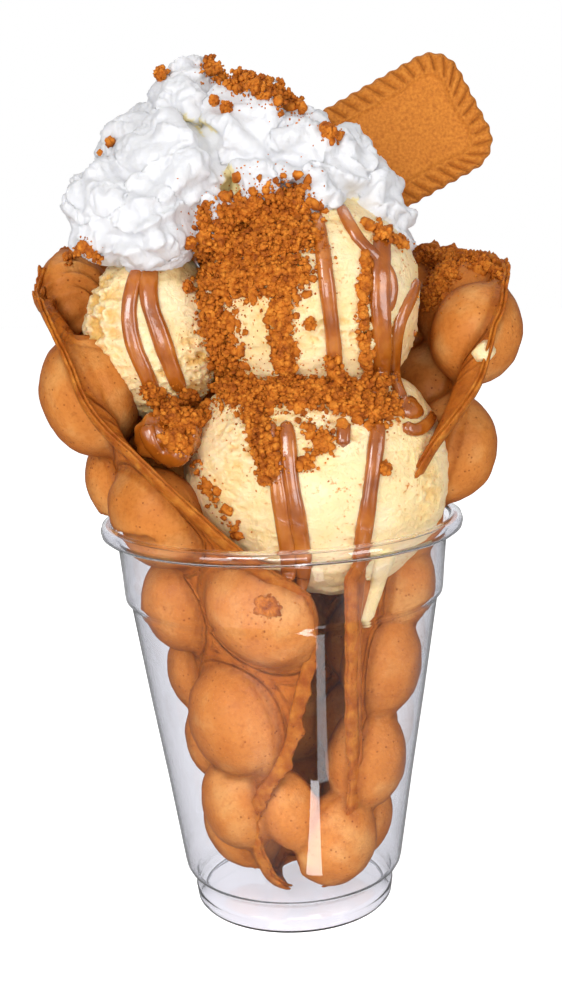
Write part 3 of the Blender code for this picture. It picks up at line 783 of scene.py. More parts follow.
def bubble_frames():
    """For each bubble, its middle and its three half axes: round, out and up."""
    rows = list(FRONT_BUBBLES)
    for height, first, step, number in BACK_ROWS:
        rows += [(first + step * i, height, 0, 0, 0, (1, 1, 1)) for i in range(number)]
    frames = []
    for angle, height, out, tilt, face_turn, scales in rows:
        ways = rolled(np.array(angle), np.array(height))
        middle, round_it, up_it, out_of_it = (Vector(way) for way in ways)
        middle = middle + out_of_it * out
        face = Matrix.Rotation(math.radians(face_turn), 3, up_it)
        round_it, out_of_it = face @ round_it, face @ out_of_it
        lean = Matrix.Rotation(math.radians(tilt), 3, out_of_it)
        round_it, up_it = lean @ round_it, lean @ up_it
        long, wide, deep = (half * scale for half, scale in zip(BUBBLE_HALF, scales))
        frames.append((middle, round_it * wide, out_of_it * deep, up_it * long))
    return frames


def bubble(middle, across, out, up):
    """A sphere stretched along the bubble's half axes."""
    bpy.ops.object.select_all(action="DESELECT")
    bpy.ops.mesh.primitive_uv_sphere_add(segments=BUBBLE_SEGMENTS, ring_count=BUBBLE_RINGS,
                                         radius=1.0)
    item = added("bubble")
    axes = Matrix((across, out, up)).transposed().to_4x4()
    item.matrix_world = Matrix.Translation(middle) @ axes
    return item


BUBBLES = bubble_frames()
print("The waffle has", len(BUBBLES), "bubbles")

# %% [markdown]
# Melting the parts together is one voxel remesh, and a little smoothing rounds the creases.
# Each point then learns where it is: on a bubble, on the web or near the free edge. From that
# come the iron's rings, the flattening against the cup, the browning that BATTER reads and the
# painted shade in the crease round each bubble.
# %% Melting the waffle together
WAFFLE_VOXEL = 1.15
CRUST_LAYERS = ((9.0, 2, 0.0, 0.35), (2.6, 2, 5.0, 0.08))
# How far from a bubble's middle things are, and how wide, in the bubble's own radius.
BUBBLE_NEAR = 2.2
WEB_START, WEB_FADE = 1.03, 0.06
# The crease round each bubble is painted darker, as painted shade: its place, width and how dark.
CREASE_SHADE_PLACE, CREASE_SHADE_WIDTH = 1.05, 0.06
RINGS_REACH = 0.8
CREASE_SHADE_SHARE = 0.6              # how dark the crease round a bubble is
SEAM_WIDTH, SEAM_HEIGHT, SEAM_EVEN = 0.8, 0.75, 0.8      # the ridge the iron leaves
SEAM_LAYERS = ((3.0, 2, 8.0, 0.5),)
EDGE_PINCH = 0.65               # how much thinner each face of the web gets at its free edge
EDGE_REACH, EDGE_SEARCH, PINCH_START = 3.5, 12.0, 1.3
WEB_BROWN, RIM_BROWN, SEAM_BROWN = 0.9, 0.8, 0.7
LOBE_MIDDLE = (-51.0, -2.0, 164.0)      # the iron's ridges ring this place, inside on the left
LOBE_RIDGES, LOBE_REACH, LOBE_HEIGHT = 4.0, 20.0, 1.2
LOBE_START, LOBE_RISE, LOBE_FALL, LOBE_FACING = 5.0, 2.0, 4.0, 0.3
CUP_CLEARANCE = (
    (4.0, 25.6), (9.5, 26.6), (12.8, 29.0), (60.0, 36.3), (87.6, 40.8), (89.1, 42.0),
    (103.2, 43.4), (107.9, 43.7), (110.0, 45.2),
)
CUP_FLOOR = 4.6
EDGE_START, EDGE_INSET = 0.02, 0.01     # shares of the web's height and width
PINCH_STEPS = 160


def fit_into_cup(places):
    """Presses what is inside the cup back from its wall and floor."""
    reach = np.hypot(places[:, 0], places[:, 1])
    limit = np.interp(places[:, 2], *np.array(CUP_CLEARANCE).T)
    limit = np.where(places[:, 2] > CUP_CLEARANCE[-1][0], np.inf, limit)
    share = np.minimum(1.0, limit / np.maximum(reach, 1.0))
    places[:, :2] *= share[:, None]
    places[:, 2] = np.maximum(places[:, 2], CUP_FLOOR)
    return places


def bubble_shares(places):
    """How far each place is from its nearest bubble's middle: in the web, and all round.

    The third number is how far it is, in millimetres, from the plane where the two halves of
    the iron met.
    """
    in_web, all_round, off_seam = (np.full(len(places), np.inf) for _ in range(3))
    for middle, *axes in BUBBLES:
        offset = places - np.array(middle)
        parts = [offset @ np.array(axis) / axis.length_squared for axis in axes]
        flat = np.sqrt(parts[0] ** 2 + parts[2] ** 2)
        whole = np.sqrt(parts[0] ** 2 + parts[1] ** 2 + parts[2] ** 2)
        in_web = np.where(whole < BUBBLE_NEAR, np.minimum(in_web, flat), in_web)
        off_seam = np.where(whole < all_round, np.abs(parts[1]) * axes[1].length, off_seam)
        all_round = np.minimum(all_round, whole)
    return in_web, all_round, off_seam


def edge_line(count):
    """The web's free edge from the bottom left, over the top, to the bottom right."""
    climb = np.linspace(EDGE_START, 1.0, count)
    top = np.linspace(1.0, 0.0, count * 3)[1:-1]
    across = np.concatenate([np.ones(count), top, np.zeros(count)])
    up = np.concatenate([climb, np.ones(len(top)), climb[::-1]])
    middle, out_of_it = web_place(across, up)
    inner, _ = web_place(np.clip(across, EDGE_INSET, 1.0 - EDGE_INSET),
                         np.clip(up, 0.0, 1.0 - EDGE_INSET))
    return middle, out_of_it, inner


def bubble_waffle():
    waffle = joined([rolled_web()] + [bubble(*shape) for shape in BUBBLES], "bubble_waffle")
    finish_with(waffle, "REMESH", mode="VOXEL", voxel_size=WAFFLE_VOXEL, adaptivity=0.0)
    finish_with(waffle, "SMOOTH", factor=0.5, iterations=5)
    places, normals = places_of(waffle), normals_of(waffle)
    in_web, all_round, off_seam = bubble_shares(places)
    on_web = capped((all_round - WEB_START) / WEB_FADE)
    seam = np.exp(-(off_seam / SEAM_WIDTH) ** 2) * (1.0 - on_web)
    lift = rough_sum(places, CRUST_LAYERS)
    lift = lift + seam * SEAM_HEIGHT * (SEAM_EVEN + rough_sum(places, SEAM_LAYERS))
    off_lobe = np.linalg.norm(places - np.array(LOBE_MIDDLE), axis=1)
    lobe = capped((off_lobe - LOBE_START) / LOBE_RISE)
    lobe = lobe * capped((LOBE_REACH - off_lobe) / LOBE_FALL)
    lobe = lobe * capped(normals[:, 0] + LOBE_FACING)
    lift = lift + lobe * LOBE_HEIGHT * np.cos(off_lobe * 2.0 * math.pi / LOBE_RIDGES)
    edge, _, _ = edge_line(PINCH_STEPS)
    tree = BVHTree.FromPolygons(edge.tolist(), [(i, i, i + 1) for i in range(len(edge) - 1)])
    far = np.array([tree.find_nearest(Vector(place), EDGE_SEARCH)[3] or EDGE_SEARCH
                    for place in places])
    lift = lift - EDGE_PINCH * on_web * capped(PINCH_START - far / EDGE_REACH)
    move_to(waffle, fit_into_cup(places + normals * lift[:, None]))
    store(waffle, "web", on_web * WEB_BROWN)
    store(waffle, "ring", capped((in_web - 1.0) / RINGS_REACH) * on_web)
    # Painted shade in the crease where each bubble meets the web.
    crease_shade = np.exp(-((all_round - CREASE_SHADE_PLACE) / CREASE_SHADE_WIDTH) ** 2)
    store(waffle, "crease_shade", crease_shade * CREASE_SHADE_SHARE)
    near_edge = capped(1.0 - far / EDGE_REACH) * RIM_BROWN
    store(waffle, "rim", np.maximum(near_edge, seam * SEAM_BROWN))
    return waffle


waffle = bubble_waffle()
print("Melted into", len(waffle.data.vertices), "points")

# %% [markdown]
# The free edge is where the two halves of the iron met: two thin lips with a groove between
# them, ragged where batter ran out. It is too fine for the remesh, so it is a strip of its
# own: a profile with two lips, carried along the edge line.
# %% The waffle's free edge
LIP_PROFILE = (                 # (out past the edge, across the web), round the two lips
    (-2.4, 0.55), (-1.4, 0.75), (-0.2, 0.90), (0.80, 0.80), (1.10, 0.50), (0.85, 0.20),
    (-0.2, 0.0), (0.85, -0.20), (1.15, -0.50), (0.9, -0.80), (-0.2, -0.90), (-1.4, -0.75),
    (-2.4, -0.55),
)
LIP_STEPS = 260
TORN_EDGE = ((7, 0.8), (30, 0.9), (95, 0.6), (110, 0.25), (150, 0.35), (166, 2.2))
TORN_LAYERS = ((5.0, 3, 9.0, 0.9), (1.6, 2, 2.0, 0.5))
TORN_FROM, TORN_RISE, TORN_MOST = 1.5, 2.0, 1.2
LIP_EVEN, LIP_DIFFER = 0.7, 0.3         # one lip is torn more than the other
LIP_BROWN, GROOVE_BROWN = 1.0, 0.2


def waffle_edge():
    middle, out_of_it, inner = edge_line(LIP_STEPS)
    along = unit(np.gradient(middle, axis=0))
    past = unit(np.cross(along, out_of_it))
    past *= np.sign(np.sum(past * (middle - inner), axis=1))[:, None]
    ragged = rough_sum(middle, TORN_LAYERS) * curve(TORN_EDGE, middle[:, 2])
    rings = []
    for out, across in LIP_PROFILE:
        wave = ragged * np.clip((out + TORN_FROM) / TORN_RISE, 0.0, TORN_MOST)
        wave = wave * (LIP_EVEN + LIP_DIFFER * np.sign(across))
        rings.append(middle + past * (out + wave)[:, None] + out_of_it * across)
    count, tall = len(middle), len(LIP_PROFILE)
    faces = tube_faces(count, tall)
    faces += [tuple(range(tall)), tuple(range(tall * (count - 1), tall * count))]
    places = fit_into_cup(np.stack(rings, 1).reshape(-1, 3))
    edge = turned_out(object_from("waffle_edge", places, faces))
    points = len(edge.data.vertices)
    groove = np.array([across == 0.0 for _, across in LIP_PROFILE] * count)[:points]
    store(edge, "web", np.ones(points))
    store(edge, "rim", np.where(groove, GROOVE_BROWN, LIP_BROWN))
    return edge


waffle_rim = waffle_edge()
tree_parts = {}


def surface_tree(item):
    """A search tree of the item's faces."""
    return BVHTree.FromPolygons(places_of(item).tolist(), faces_of(item))


def remember(name, item):
    """Keeps a search tree of the item, on the bench, for what is laid on it later."""
    tree_parts[name] = surface_tree(item)


remember("waffle", waffle)
serve(waffle, BATTER, "waffle", "waffle")
serve(waffle_rim, BATTER, "waffle")

# %% [markdown]
# ## The scoops
# A scoop is a ball that a spoon has dragged: smooth where the steel slid, torn and ridged
# where the ice cream gave way. Each starts as an icosphere with the frame solid's size, and
# noise moves its points: broad lumps, drag lines that run round it, and torn patches.
# %% The ice cream
SCOOPS = {                      # middle, half sizes, how torn, seed
    "ice_cream_lower": ((9.5, -11, 121), (34.5, 28, 31.5), 0.12, 1.0),
    "ice_cream_side": ((-31, -4, 158), (18.5, 18, 22), 0.8, 4.0),
    "ice_cream_upper": ((9.5, -7, 165), (28, 26, 28.5), 0.20, 7.0),
}
SCOOP_LAYERS = ((14.0, 1, 0.0, 0.9), ((9.0, 9.0, 2.2), 2, 0.0, 0.35))
SCOOP_SUBDIVISIONS = 7
PATCH_SIZE, PATCH_GAIN, PATCH_FLOOR = 16.0, 2.0, 0.35
CRAG_SIZE = (6.0, 6.0, 3.4)
CRAG_TOP, CRAG_DEPTH = 0.6, 2.2
# The torn crags are painted darker, as shade, by how deep they go.
CRAG_SHADE_START, CRAG_SHADE_GAIN = 0.12, 3.0
DUST_SHARE_MEAN, DUST_SIZE = 0.45, 10.0
CRAG_START, CRAG_FADE = -36.0, 6.0      # the side scoop is torn from here to its left
FROST_SIZE, FROST, TORN_FROST = 1.4, 0.05, 0.15


def scoop(node, middle, halves, torn, seed):
    item = settled(add_ball(node + "_scoop", SCOOP_SUBDIVISIONS, middle, halves))
    places, normals = places_of(item), normals_of(item)
    lift = rough_sum(places, SCOOP_LAYERS, seed)
    patch = rough(places, PATCH_SIZE, 1, seed + 2.0) * PATCH_GAIN
    patch = capped(patch + torn - PATCH_FLOOR)
    crag = np.abs(rough(places, CRAG_SIZE, 4, seed + 5.0))
    if node == "ice_cream_side":
        patch = np.maximum(patch, capped((CRAG_START - places[:, 0]) / CRAG_FADE))
    lift += patch * (CRAG_TOP - CRAG_DEPTH * crag)
    lift += rough(places, FROST_SIZE, 2, seed + 8.0) * (FROST + TORN_FROST * patch)
    move_to(item, places + normals * lift[:, None])
    store(item, "dust", capped(DUST_SHARE_MEAN + rough(places, DUST_SIZE, 2, seed + 3.0)))
    # Painted shade, darker the deeper a crag goes.
    store(item, "crag", capped((crag - CRAG_SHADE_START) * CRAG_SHADE_GAIN) * patch)
    return item


for node, shape in SCOOPS.items():
    item = scoop(node, *shape)
    remember(node, item)
    serve(item, ICE, node, node)

# %% [markdown]
# ## The whipped cream
# Cream from a piping bag comes out of a star nozzle in soft ribs. Every fold of the heap is a
# few short ribbons with a star section, laid over a soft core, and a remesh melts them into
# one. Noise then folds the surface and tears the crests of the folds.
# %% The ribbons
CREAM_FOLDS = (                 # middle and radius of each fold
    (-36.6, -12, 188, 14.2), (-37.6, 0, 192.5, 13), (-28, -17, 185.5, 13), (-22, -10, 197, 16),
    (-29, 4, 201, 15), (-19, 0, 210, 13), (-19, 3, 217.5, 9), (-6, -6, 205, 14.5),
    (6, -8, 199, 13.5), (16, -6, 196.5, 12), (23.4, -4, 190, 11), (28.8, -3, 183, 8.2),
    (0, 8, 200, 15.5), (17, 8, 194, 13), (-18, 13, 192, 15.5), (10, -14, 191, 9.5),
    (-14, -13, 187, 9.5), (-4, -14, 194, 8.5), (-32, 0, 204, 10), (-3, -4, 212, 8.5),
)
CREAM_VOXEL = 0.62
CREAM_SEED = 5
CREAM_HEART = Vector((-8.0, 2.0, 192.0))
CORE_DEPTH = 3.4                # how far the core is below the fold's surface
FACINGS = ((0.0, -1.1, 0.15), (0.0, 0.9, 0.2), (0.0, 0.0, 1.0))
RIBBON_SPIN, RIBBON_SIZE, RIBBON_ARC = (-0.9, 0.9), (0.40, 0.50), (0.9, 1.25)
RIBBON_PLANE = Vector((0.3, 0.1, 1.0))
RIBBON_SHIFTS = (-0.42, 0.42)
RIBBON_STEPS, RIBBON_SIDES = 56, 42
RIBBON_SWAY, RIBBON_TWIST = 1.6, (-0.5, 0.5)
RIBS, RIB_DEPTH = 5, 0.22
RIB_ROUNDING, RIB_STAGGER = 1.3, 0.37
TEETH, TOOTH_HEIGHT = 2.3, 0.3  # how far apart and how high the teeth of a rib are
RIBBON_WAVES, RIBBON_TIP = 1.5, 0.03


def ribbon(middle, radius, ahead_way, bend_way, size, half_arc, draw):
    """A star-section ribbon over a fold: an arc in the plane of the two ways."""
    side_way = ahead_way.cross(bend_way).normalized()
    arc = np.linspace(-half_arc, half_arc, RIBBON_STEPS)
    turns = np.linspace(0.0, 2.0 * math.pi, RIBBON_SIDES, endpoint=False)
    out = np.outer(np.cos(arc), ahead_way) + np.outer(np.sin(arc), bend_way)
    path = np.array(middle) + out * (radius - size)
    path += np.outer(np.sin(arc * RIBBON_WAVES + draw.uniform(0.0, 3.0)) * RIBBON_SWAY, side_way)
    length = np.abs(arc[1] - arc[0]) * radius
    twist = draw.uniform(*RIBBON_TWIST)
    taper = np.sqrt(np.clip(1.0 - (np.abs(arc) / half_arc) ** 4, RIBBON_TIP, 1.0))
    rings = []
    for step in range(RIBBON_STEPS):
        turned = turns + twist * arc[step]
        star = np.abs(np.cos(RIBS / 2.0 * turned))
        rib = np.floor(turned * RIBS / (2.0 * math.pi) + 0.5)
        tooth = np.abs(np.sin(math.pi * (step * length / TEETH + rib * RIB_STAGGER)))
        reach = size * taper[step] * (1.0 - RIB_DEPTH + RIB_DEPTH * star ** RIB_ROUNDING)
        reach += TOOTH_HEIGHT * (tooth - 0.5) * star ** 4 * taper[step]
        rings.append(path[step] + np.outer(np.cos(turns) * reach, out[step])
                     + np.outer(np.sin(turns) * reach, side_way))
    places = np.concatenate(rings)
    faces = tube_faces(RIBBON_STEPS, RIBBON_SIDES)
    faces.append(tuple(range(RIBBON_SIDES))[::-1])
    faces.append(tuple(range(len(places) - RIBBON_SIDES, len(places))))
    return turned_out(object_from("ribbon", places, faces))


def cream_parts():
    """The core and the six ribbons of every fold."""
    draw = random.Random(CREAM_SEED)
    parts = []
    for x, y, z, radius in CREAM_FOLDS:
        middle = Vector((x, y, z))
        parts.append(add_ball("core", 4, middle, radius=radius - CORE_DEPTH))
        out = (middle - CREAM_HEART).normalized()
        for facing in FACINGS:
            face = (out + Vector(facing)).normalized()
            spin = Matrix.Rotation(draw.uniform(*RIBBON_SPIN), 3, face)
            bend = (spin @ face.cross(RIBBON_PLANE)).normalized()
            side = face.cross(bend).normalized()
            size = radius * draw.uniform(*RIBBON_SIZE)
            for shift in RIBBON_SHIFTS:
                lean = (face + side * shift).normalized()
                parts.append(ribbon(middle, radius, lean, bend, size,
                                    draw.uniform(*RIBBON_ARC), draw))
    return parts


# %% The whipped cream
DRIFT_SIZE, DRIFT_SEEDS, DRIFT = 12.0, (21.0, 33.0, 47.0), 5.0
FOLD_SIZE, FOLD_HEIGHT = (12.0, 12.0, 7.0), 5.0
FOLD_TOP, FOLD_ROUNDING = 0.42, 0.05
CREST_LEAST, CREST_START, CREST_RISE = 0.25, 0.12, 0.15
TATTER_SIZE, TATTER_TOP, TATTER_HEIGHT = (2.4, 2.4, 3.0), 0.25, 1.5
FEELER_START, FEELER_REACH = 0.4, 14.0


def whipped_cream():
    cream = joined(cream_parts(), "cream_swirls")
    finish_with(cream, "REMESH", mode="VOXEL", voxel_size=CREAM_VOXEL, adaptivity=0.0)
    finish_with(cream, "SMOOTH", factor=0.4, iterations=1)
    places, normals = places_of(cream), normals_of(cream)
    drift = np.stack([rough(places, DRIFT_SIZE, 1, seed) for seed in DRIFT_SEEDS], 1) * DRIFT
    fold = FOLD_TOP - np.hypot(rough(places + drift, FOLD_SIZE, 1, 4.0), FOLD_ROUNDING)
    crest = CREST_LEAST + capped((fold - CREST_START) / CREST_RISE)
    tatter = TATTER_TOP - np.abs(rough(places, TATTER_SIZE, 2, 9.0))
    lift = fold * FOLD_HEIGHT + crest * tatter * TATTER_HEIGHT
    # Painted shade in the hollows between the folds.
    store(cream, "valley_shade", hollow_shade(cream, places, normals))
    move_to(cream, places + normals * lift[:, None])
    return cream


def hollow_shade(item, places, normals):
    """Painted shade: 1 where a short feeler along the normal meets cream again, as in a fold, 0
    elsewhere.
    """
    tree = surface_tree(item)
    ways = [Vector(normal) for normal in normals]
    met = [tree.ray_cast(Vector(place) + way * FEELER_START, way, FEELER_REACH)[0]
           for place, way in zip(places, ways)]
    return np.array([place is not None for place in met], float)


cream = whipped_cream()
remember("cream", cream)
serve(cream, FOAM, "whipped_cream", "whipped_cream")

# %% [markdown]
# ## The biscuit
# A caramelised biscuit is stamped from soft dough: a crimped border with slanted ribs, a
# raised line inside it and a plain sunk field. Rings of points run from the scalloped edge to
# the middle line, and the height of each point follows from how far in it is.
# %% The crimped biscuit
BISCUIT_LENGTH, BISCUIT_WIDTH, BISCUIT_THICKNESS, BISCUIT_CORNER = 62.0, 34.0, 6.5, 8.5
BISCUIT_MIDDLE = Vector((28.2, 19.5, 202.6))
BISCUIT_SLOPE, BISCUIT_LEAN = math.radians(27.0), math.radians(4.0)
BISCUIT_LAYERS = ((7.0, 2, 6.0, 0.25), (1.8, 2, 1.0, 0.10))
CRIMPS = 46
CRIMP_SLANT = 0.9               # how far a rib leans, in ribs, over the border
RIB_HEIGHT, RIB_FLOOR, RIB_FADE, GROOVE_SHADE_SHARE = 1.5, 0.8, 1.2, 2.2
BORDER = 5.4
SCALLOP, SCALLOP_FADE = 0.24, 6.0
RIM_CROWD = 1.6                 # the rings lie closer near the rim
ROUNDING, EDGE_DROP = 1.6, 0.75
FIELD_DEPTH, LINE_HEIGHT, LINE_WIDTH, LINE_INSET = 0.75, 0.45, 0.7, 0.4
BISCUIT_POINTS, BISCUIT_RINGS = 528, 46


def biscuit_edge(count):
    """Evenly spaced points round a rounded bar, and their ways out."""
    half_x, half_y = BISCUIT_LENGTH / 2 - BISCUIT_CORNER, BISCUIT_WIDTH / 2 - BISCUIT_CORNER
    bend = math.pi * BISCUIT_CORNER / 2
    runs = (2 * half_y, bend, 2 * half_x, bend) * 2
    starts = np.concatenate([[0.0], np.cumsum(runs)])
    along = np.linspace(0.0, starts[-1], count, endpoint=False)
    run = np.clip(np.searchsorted(starts, along, side="right") - 1, 0, 7)
    quarter, rest = run // 2, along - starts[run]
    corners = np.array([(half_x, half_y), (-half_x, half_y), (-half_x, -half_y),
                        (half_x, -half_y)])
    on_bend = run % 2 == 1
    turn = quarter * math.pi / 2 + np.where(on_bend, rest / BISCUIT_CORNER, 0.0)
    out = np.stack([np.cos(turn), np.sin(turn)], -1)
    back = np.stack([np.sin(turn), -np.cos(turn)], -1)
    slide = np.where(on_bend, 0.0, np.array(runs)[run] - rest)
    core = corners[quarter] + back * slide[:, None]
    return core + out * BISCUIT_CORNER, out


def biscuit_bar():
    rim, out = biscuit_edge(BISCUIT_POINTS)
    reach = BISCUIT_LENGTH / 2 - BISCUIT_WIDTH / 2
    spine = np.stack([np.clip(rim[:, 0], -reach, reach), np.zeros(len(rim))], -1)
    beat = np.arange(BISCUIT_POINTS) / BISCUIT_POINTS * CRIMPS
    half = BISCUIT_THICKNESS / 2
    rings = []
    groove = np.zeros((BISCUIT_RINGS * 2, BISCUIT_POINTS))
    for side in (-1.0, 1.0):
        shares = np.linspace(1.0, 0.0, BISCUIT_RINGS) ** RIM_CROWD
        for share in shares if side < 0.0 else shares[::-1]:
            scallop = SCALLOP * np.cos(2 * math.pi * beat) * max(0.0, 1.0 - share * SCALLOP_FADE)
            flat = rim + (spine - rim) * share + out * (scallop - SCALLOP)[:, None]
            inward = np.linalg.norm((rim - spine) * share, axis=1)
            round_off = capped(inward / ROUNDING)
            height = half * np.sqrt(1.0 - (1.0 - round_off) ** 2 * EDGE_DROP)
            if side > 0.0:
                slant = beat + CRIMP_SLANT * inward / BORDER
                fade = np.clip(inward / 1.0, 0.25, 1.0) * capped((BORDER - inward) / RIB_FADE)
                rib = np.abs(np.sin(math.pi * slant))
                height = height + (RIB_HEIGHT * rib ** 0.7 - RIB_FLOOR) * fade
                # Painted shade in the grooves between the ribs.
                groove[len(rings)] = capped(1.0 - rib * GROOVE_SHADE_SHARE) * capped(fade * 2)
                height -= FIELD_DEPTH * capped((inward - BORDER) / LINE_WIDTH)
                line = (inward - BORDER - LINE_INSET) / LINE_WIDTH
                height += LINE_HEIGHT * np.exp(-line ** 2)
            rings.append(np.concatenate([flat, (height * side)[:, None]], 1))
    places = np.concatenate(rings)
    places[:, 2] += rough_sum(places, BISCUIT_LAYERS)
    long = Vector((math.cos(BISCUIT_SLOPE), 0.0, math.sin(BISCUIT_SLOPE)))
    wide = Vector((-math.sin(BISCUIT_SLOPE), math.sin(BISCUIT_LEAN), math.cos(BISCUIT_SLOPE)))
    wide.normalize()
    axes = np.array([long, wide, long.cross(wide).normalized()])
    item = object_from("crimped_biscuit", places @ axes + np.array(BISCUIT_MIDDLE),
                       tube_faces(len(rings), BISCUIT_POINTS))
    # The painted shade between the ribs, for the material to read.
    store(item, "groove", groove.ravel())
    return turned_out(item)


biscuit = biscuit_bar()
remember("biscuit", biscuit)
serve(biscuit, BISCUIT, "biscuit", "biscuit")

# %% [markdown]
# ## The spread
# Warm caramel spread runs down in strands that stay rounded, fuse where they meet and thicken
# where they stop. A strand is given as the places it passes in the picture. Each is landed
# on what carries it, and a flat-bottomed tube is swept along the landed line.
# %% Laying a strand
STRANDS = (                     # half width, half height, what it lies on, places it passes
    (1.9, 1.6, "ice", ((317, 212), (323, 255), (328, 296), (333, 337), (336, 379), (337, 394))),
    (1.8, 1.5, "ice", ((339, 205), (357, 238), (376, 258), (389, 276), (391, 296), (386, 313))),
    (2.7, 1.7, "ice", ((382, 228), (379, 296), (381, 329), (381, 362), (377, 395), (374, 420))),
    (1.9, 1.4, "ice", ((421, 268), (411, 296), (399, 321), (395, 346), (394, 379), (404, 402))),
    (3.2, 1.8, "ice", ((396, 402), (408, 412), (418, 404))),
    (1.7, 1.4, "ice", ((418, 376), (431, 388), (434, 404), (428, 424), (412, 432), (402, 424))),
    (0.8, 0.7, "ice", ((414, 329), (415, 348), (415, 367))),
    (1.5, 1.2, "any", ((196, 240), (198, 262), (200, 282))),
    (1.6, 1.2, "ice", ((276, 330), (277, 350), (280, 372))),
    (2.1, 1.7, "side", ((141, 264), (132, 290), (129, 314), (134, 346), (146, 373), (158, 407))),
    (2.3, 1.7, "side", ((150, 262), (149, 300), (159, 331), (168, 358), (181, 392))),
    (2.1, 1.7, "any", ((270, 420), (276, 470), (283, 520), (289, 560), (288, 582))),
    (2.1, 1.7, "any", ((286, 420), (290, 470), (298, 520), (304, 560), (300, 592))),
    (2.1, 1.6, "any", ((379, 420), (374, 460), (368, 505), (361, 548), (356, 575))),
    (1.7, 1.3, "ice", ((344, 420), (343, 436), (343, 448))),
    (2.2, 1.6, "pool", ((146, 424), (152, 444), (164, 456), (178, 460), (186, 448))),
    (1.8, 1.0, "waffle", ((362, 552), (356, 600), (354, 650), (355, 710), (357, 767))),
)
MELTED = (                      # pale runs of melted ice cream, in the same way
    (2.7, 1.4, "any", ((386, 548), (379, 575), (371, 598), (366, 614), (362, 626))),
    (2.6, 2.3, "waffle", ((490, 345), (484, 352), (477, 362))),
)
REACH = {
    "ice": ("ice_cream_upper", "ice_cream_lower"),
    "side": ("ice_cream_side", "waffle"),
    "any": ("ice_cream_upper", "ice_cream_lower", "ice_cream_side", "waffle"),
    "pool": ("pool", "waffle"),
    "waffle": ("waffle",),
}
MM_A_PIXEL = 0.27
STRAND_STEP = 1.0
STRAND_SIDES = 16
STRAND_SEED, MELTED_SEED = 3.1, 5.3
FACE_THE_EYE = 0.4              # how far a strand leans to the eye on a steep flank
SWELL, SWELL_LENGTH = 0.14, 9.0
BLUNT_END = 12
SOFTEN_PLACES, SOFTEN_NORMALS = 6, 10
GROOVE_DEPTH, GROOVE_WIDTH = 0.16, 0.32
FLAT_SIDE, LIFT_OFF = 0.6, 0.2


def landed(points, carriers):
    """The points, closely spaced, on what carries them, with the normals there."""
    lengths = lengths_along(points)
    count = max(6, int(lengths[-1] * MM_A_PIXEL / STRAND_STEP))
    along = np.linspace(0.0, lengths[-1], count)
    across, down = (curve(list(zip(lengths, values)), along) for values in zip(*points))
    trees = {name: tree_parts[name] for name in REACH[carriers]}
    hits = [seen(a, d, trees) for a, d in zip(across, down)]
    places, normals = zip(*[hit for hit in hits if hit])
    return np.array(places), np.array(normals)


def softened(rows, times):
    """The rows with each one drawn towards its neighbours."""
    for _ in range(times):
        middle = (rows[:-2] + 2.0 * rows[1:-1] + rows[2:]) / 4.0
        rows = np.concatenate([rows[:1], middle, rows[-1:]])
    return rows


def strand(name, half_width, half_height, carriers, points, seed):
    """A rounded strand swept along its landed line."""
    places, normals = landed(points, carriers)
    near = unit(np.array(EYE) - places)
    places = softened(places, SOFTEN_PLACES)
    normals = unit(softened(normals + near * FACE_THE_EYE, SOFTEN_NORMALS))
    along = unit(np.gradient(places, axis=0))
    side = unit(np.cross(along, normals))
    lift = np.cross(side, along)
    share = np.linspace(0.0, 1.0, len(places))
    ends = np.sqrt(capped(1.0 - np.abs(2.0 * share - 1.0) ** BLUNT_END))
    wave = 1.0 + SWELL * rough(places, SWELL_LENGTH, 2, seed)
    rings = []
    for turn in np.linspace(0.0, 2.0 * math.pi, STRAND_SIDES, endpoint=False):
        groove = 1.0 - GROOVE_DEPTH * math.exp(-((turn - math.pi / 2) / GROOVE_WIDTH) ** 2)
        wide = math.cos(turn) * half_width * ends * wave
        high = math.sin(turn) * half_height * ends * wave * groove
        high = np.where(high < 0.0, high * FLAT_SIDE, high)
        rings.append(places + side * wide[:, None] + lift * (high + LIFT_OFF)[:, None])
    faces = tube_faces(len(places), STRAND_SIDES)
    return turned_out(object_from(name, np.stack(rings, 1).reshape(-1, 3), faces))


def strands(name, rows, seed_step):
    """A strand for each row of a table."""
    return [strand(name, *row, index * seed_step) for index, row in enumerate(rows)]


# %% [markdown]
# The strands of the side scoop have run into a lumpy pool behind the waffle's left edge. And
# where the lowest scoop touches the warm waffle it has melted, and a pale run has gone down
# the inside of the cup.
# %% The pool, the strands and the melted runs
POOL_MIDDLE = Vector((-27.0, -22.0, 133.0))
POOL_HALF = Vector((8.2, 6.5, 7.0))
POOL_LAYERS = ((6.0, 2, 2.0, 2.4),)


def pool():
    item = settled(add_ball("pool", 5, POOL_MIDDLE, POOL_HALF))
    lift = rough_sum(places_of(item), POOL_LAYERS)
    move_to(item, places_of(item) + normals_of(item) * lift[:, None])
    return item


puddle = pool()
remember("pool", puddle)
spread = joined([puddle] + strands("strand", STRANDS, STRAND_SEED), "caramel_strands")
remember("spread", spread)
serve(spread, SPREAD, "ice_cream_upper")
serve(joined(strands("run", MELTED, MELTED_SEED), "melted_runs"), ICE, "ice_cream_lower")

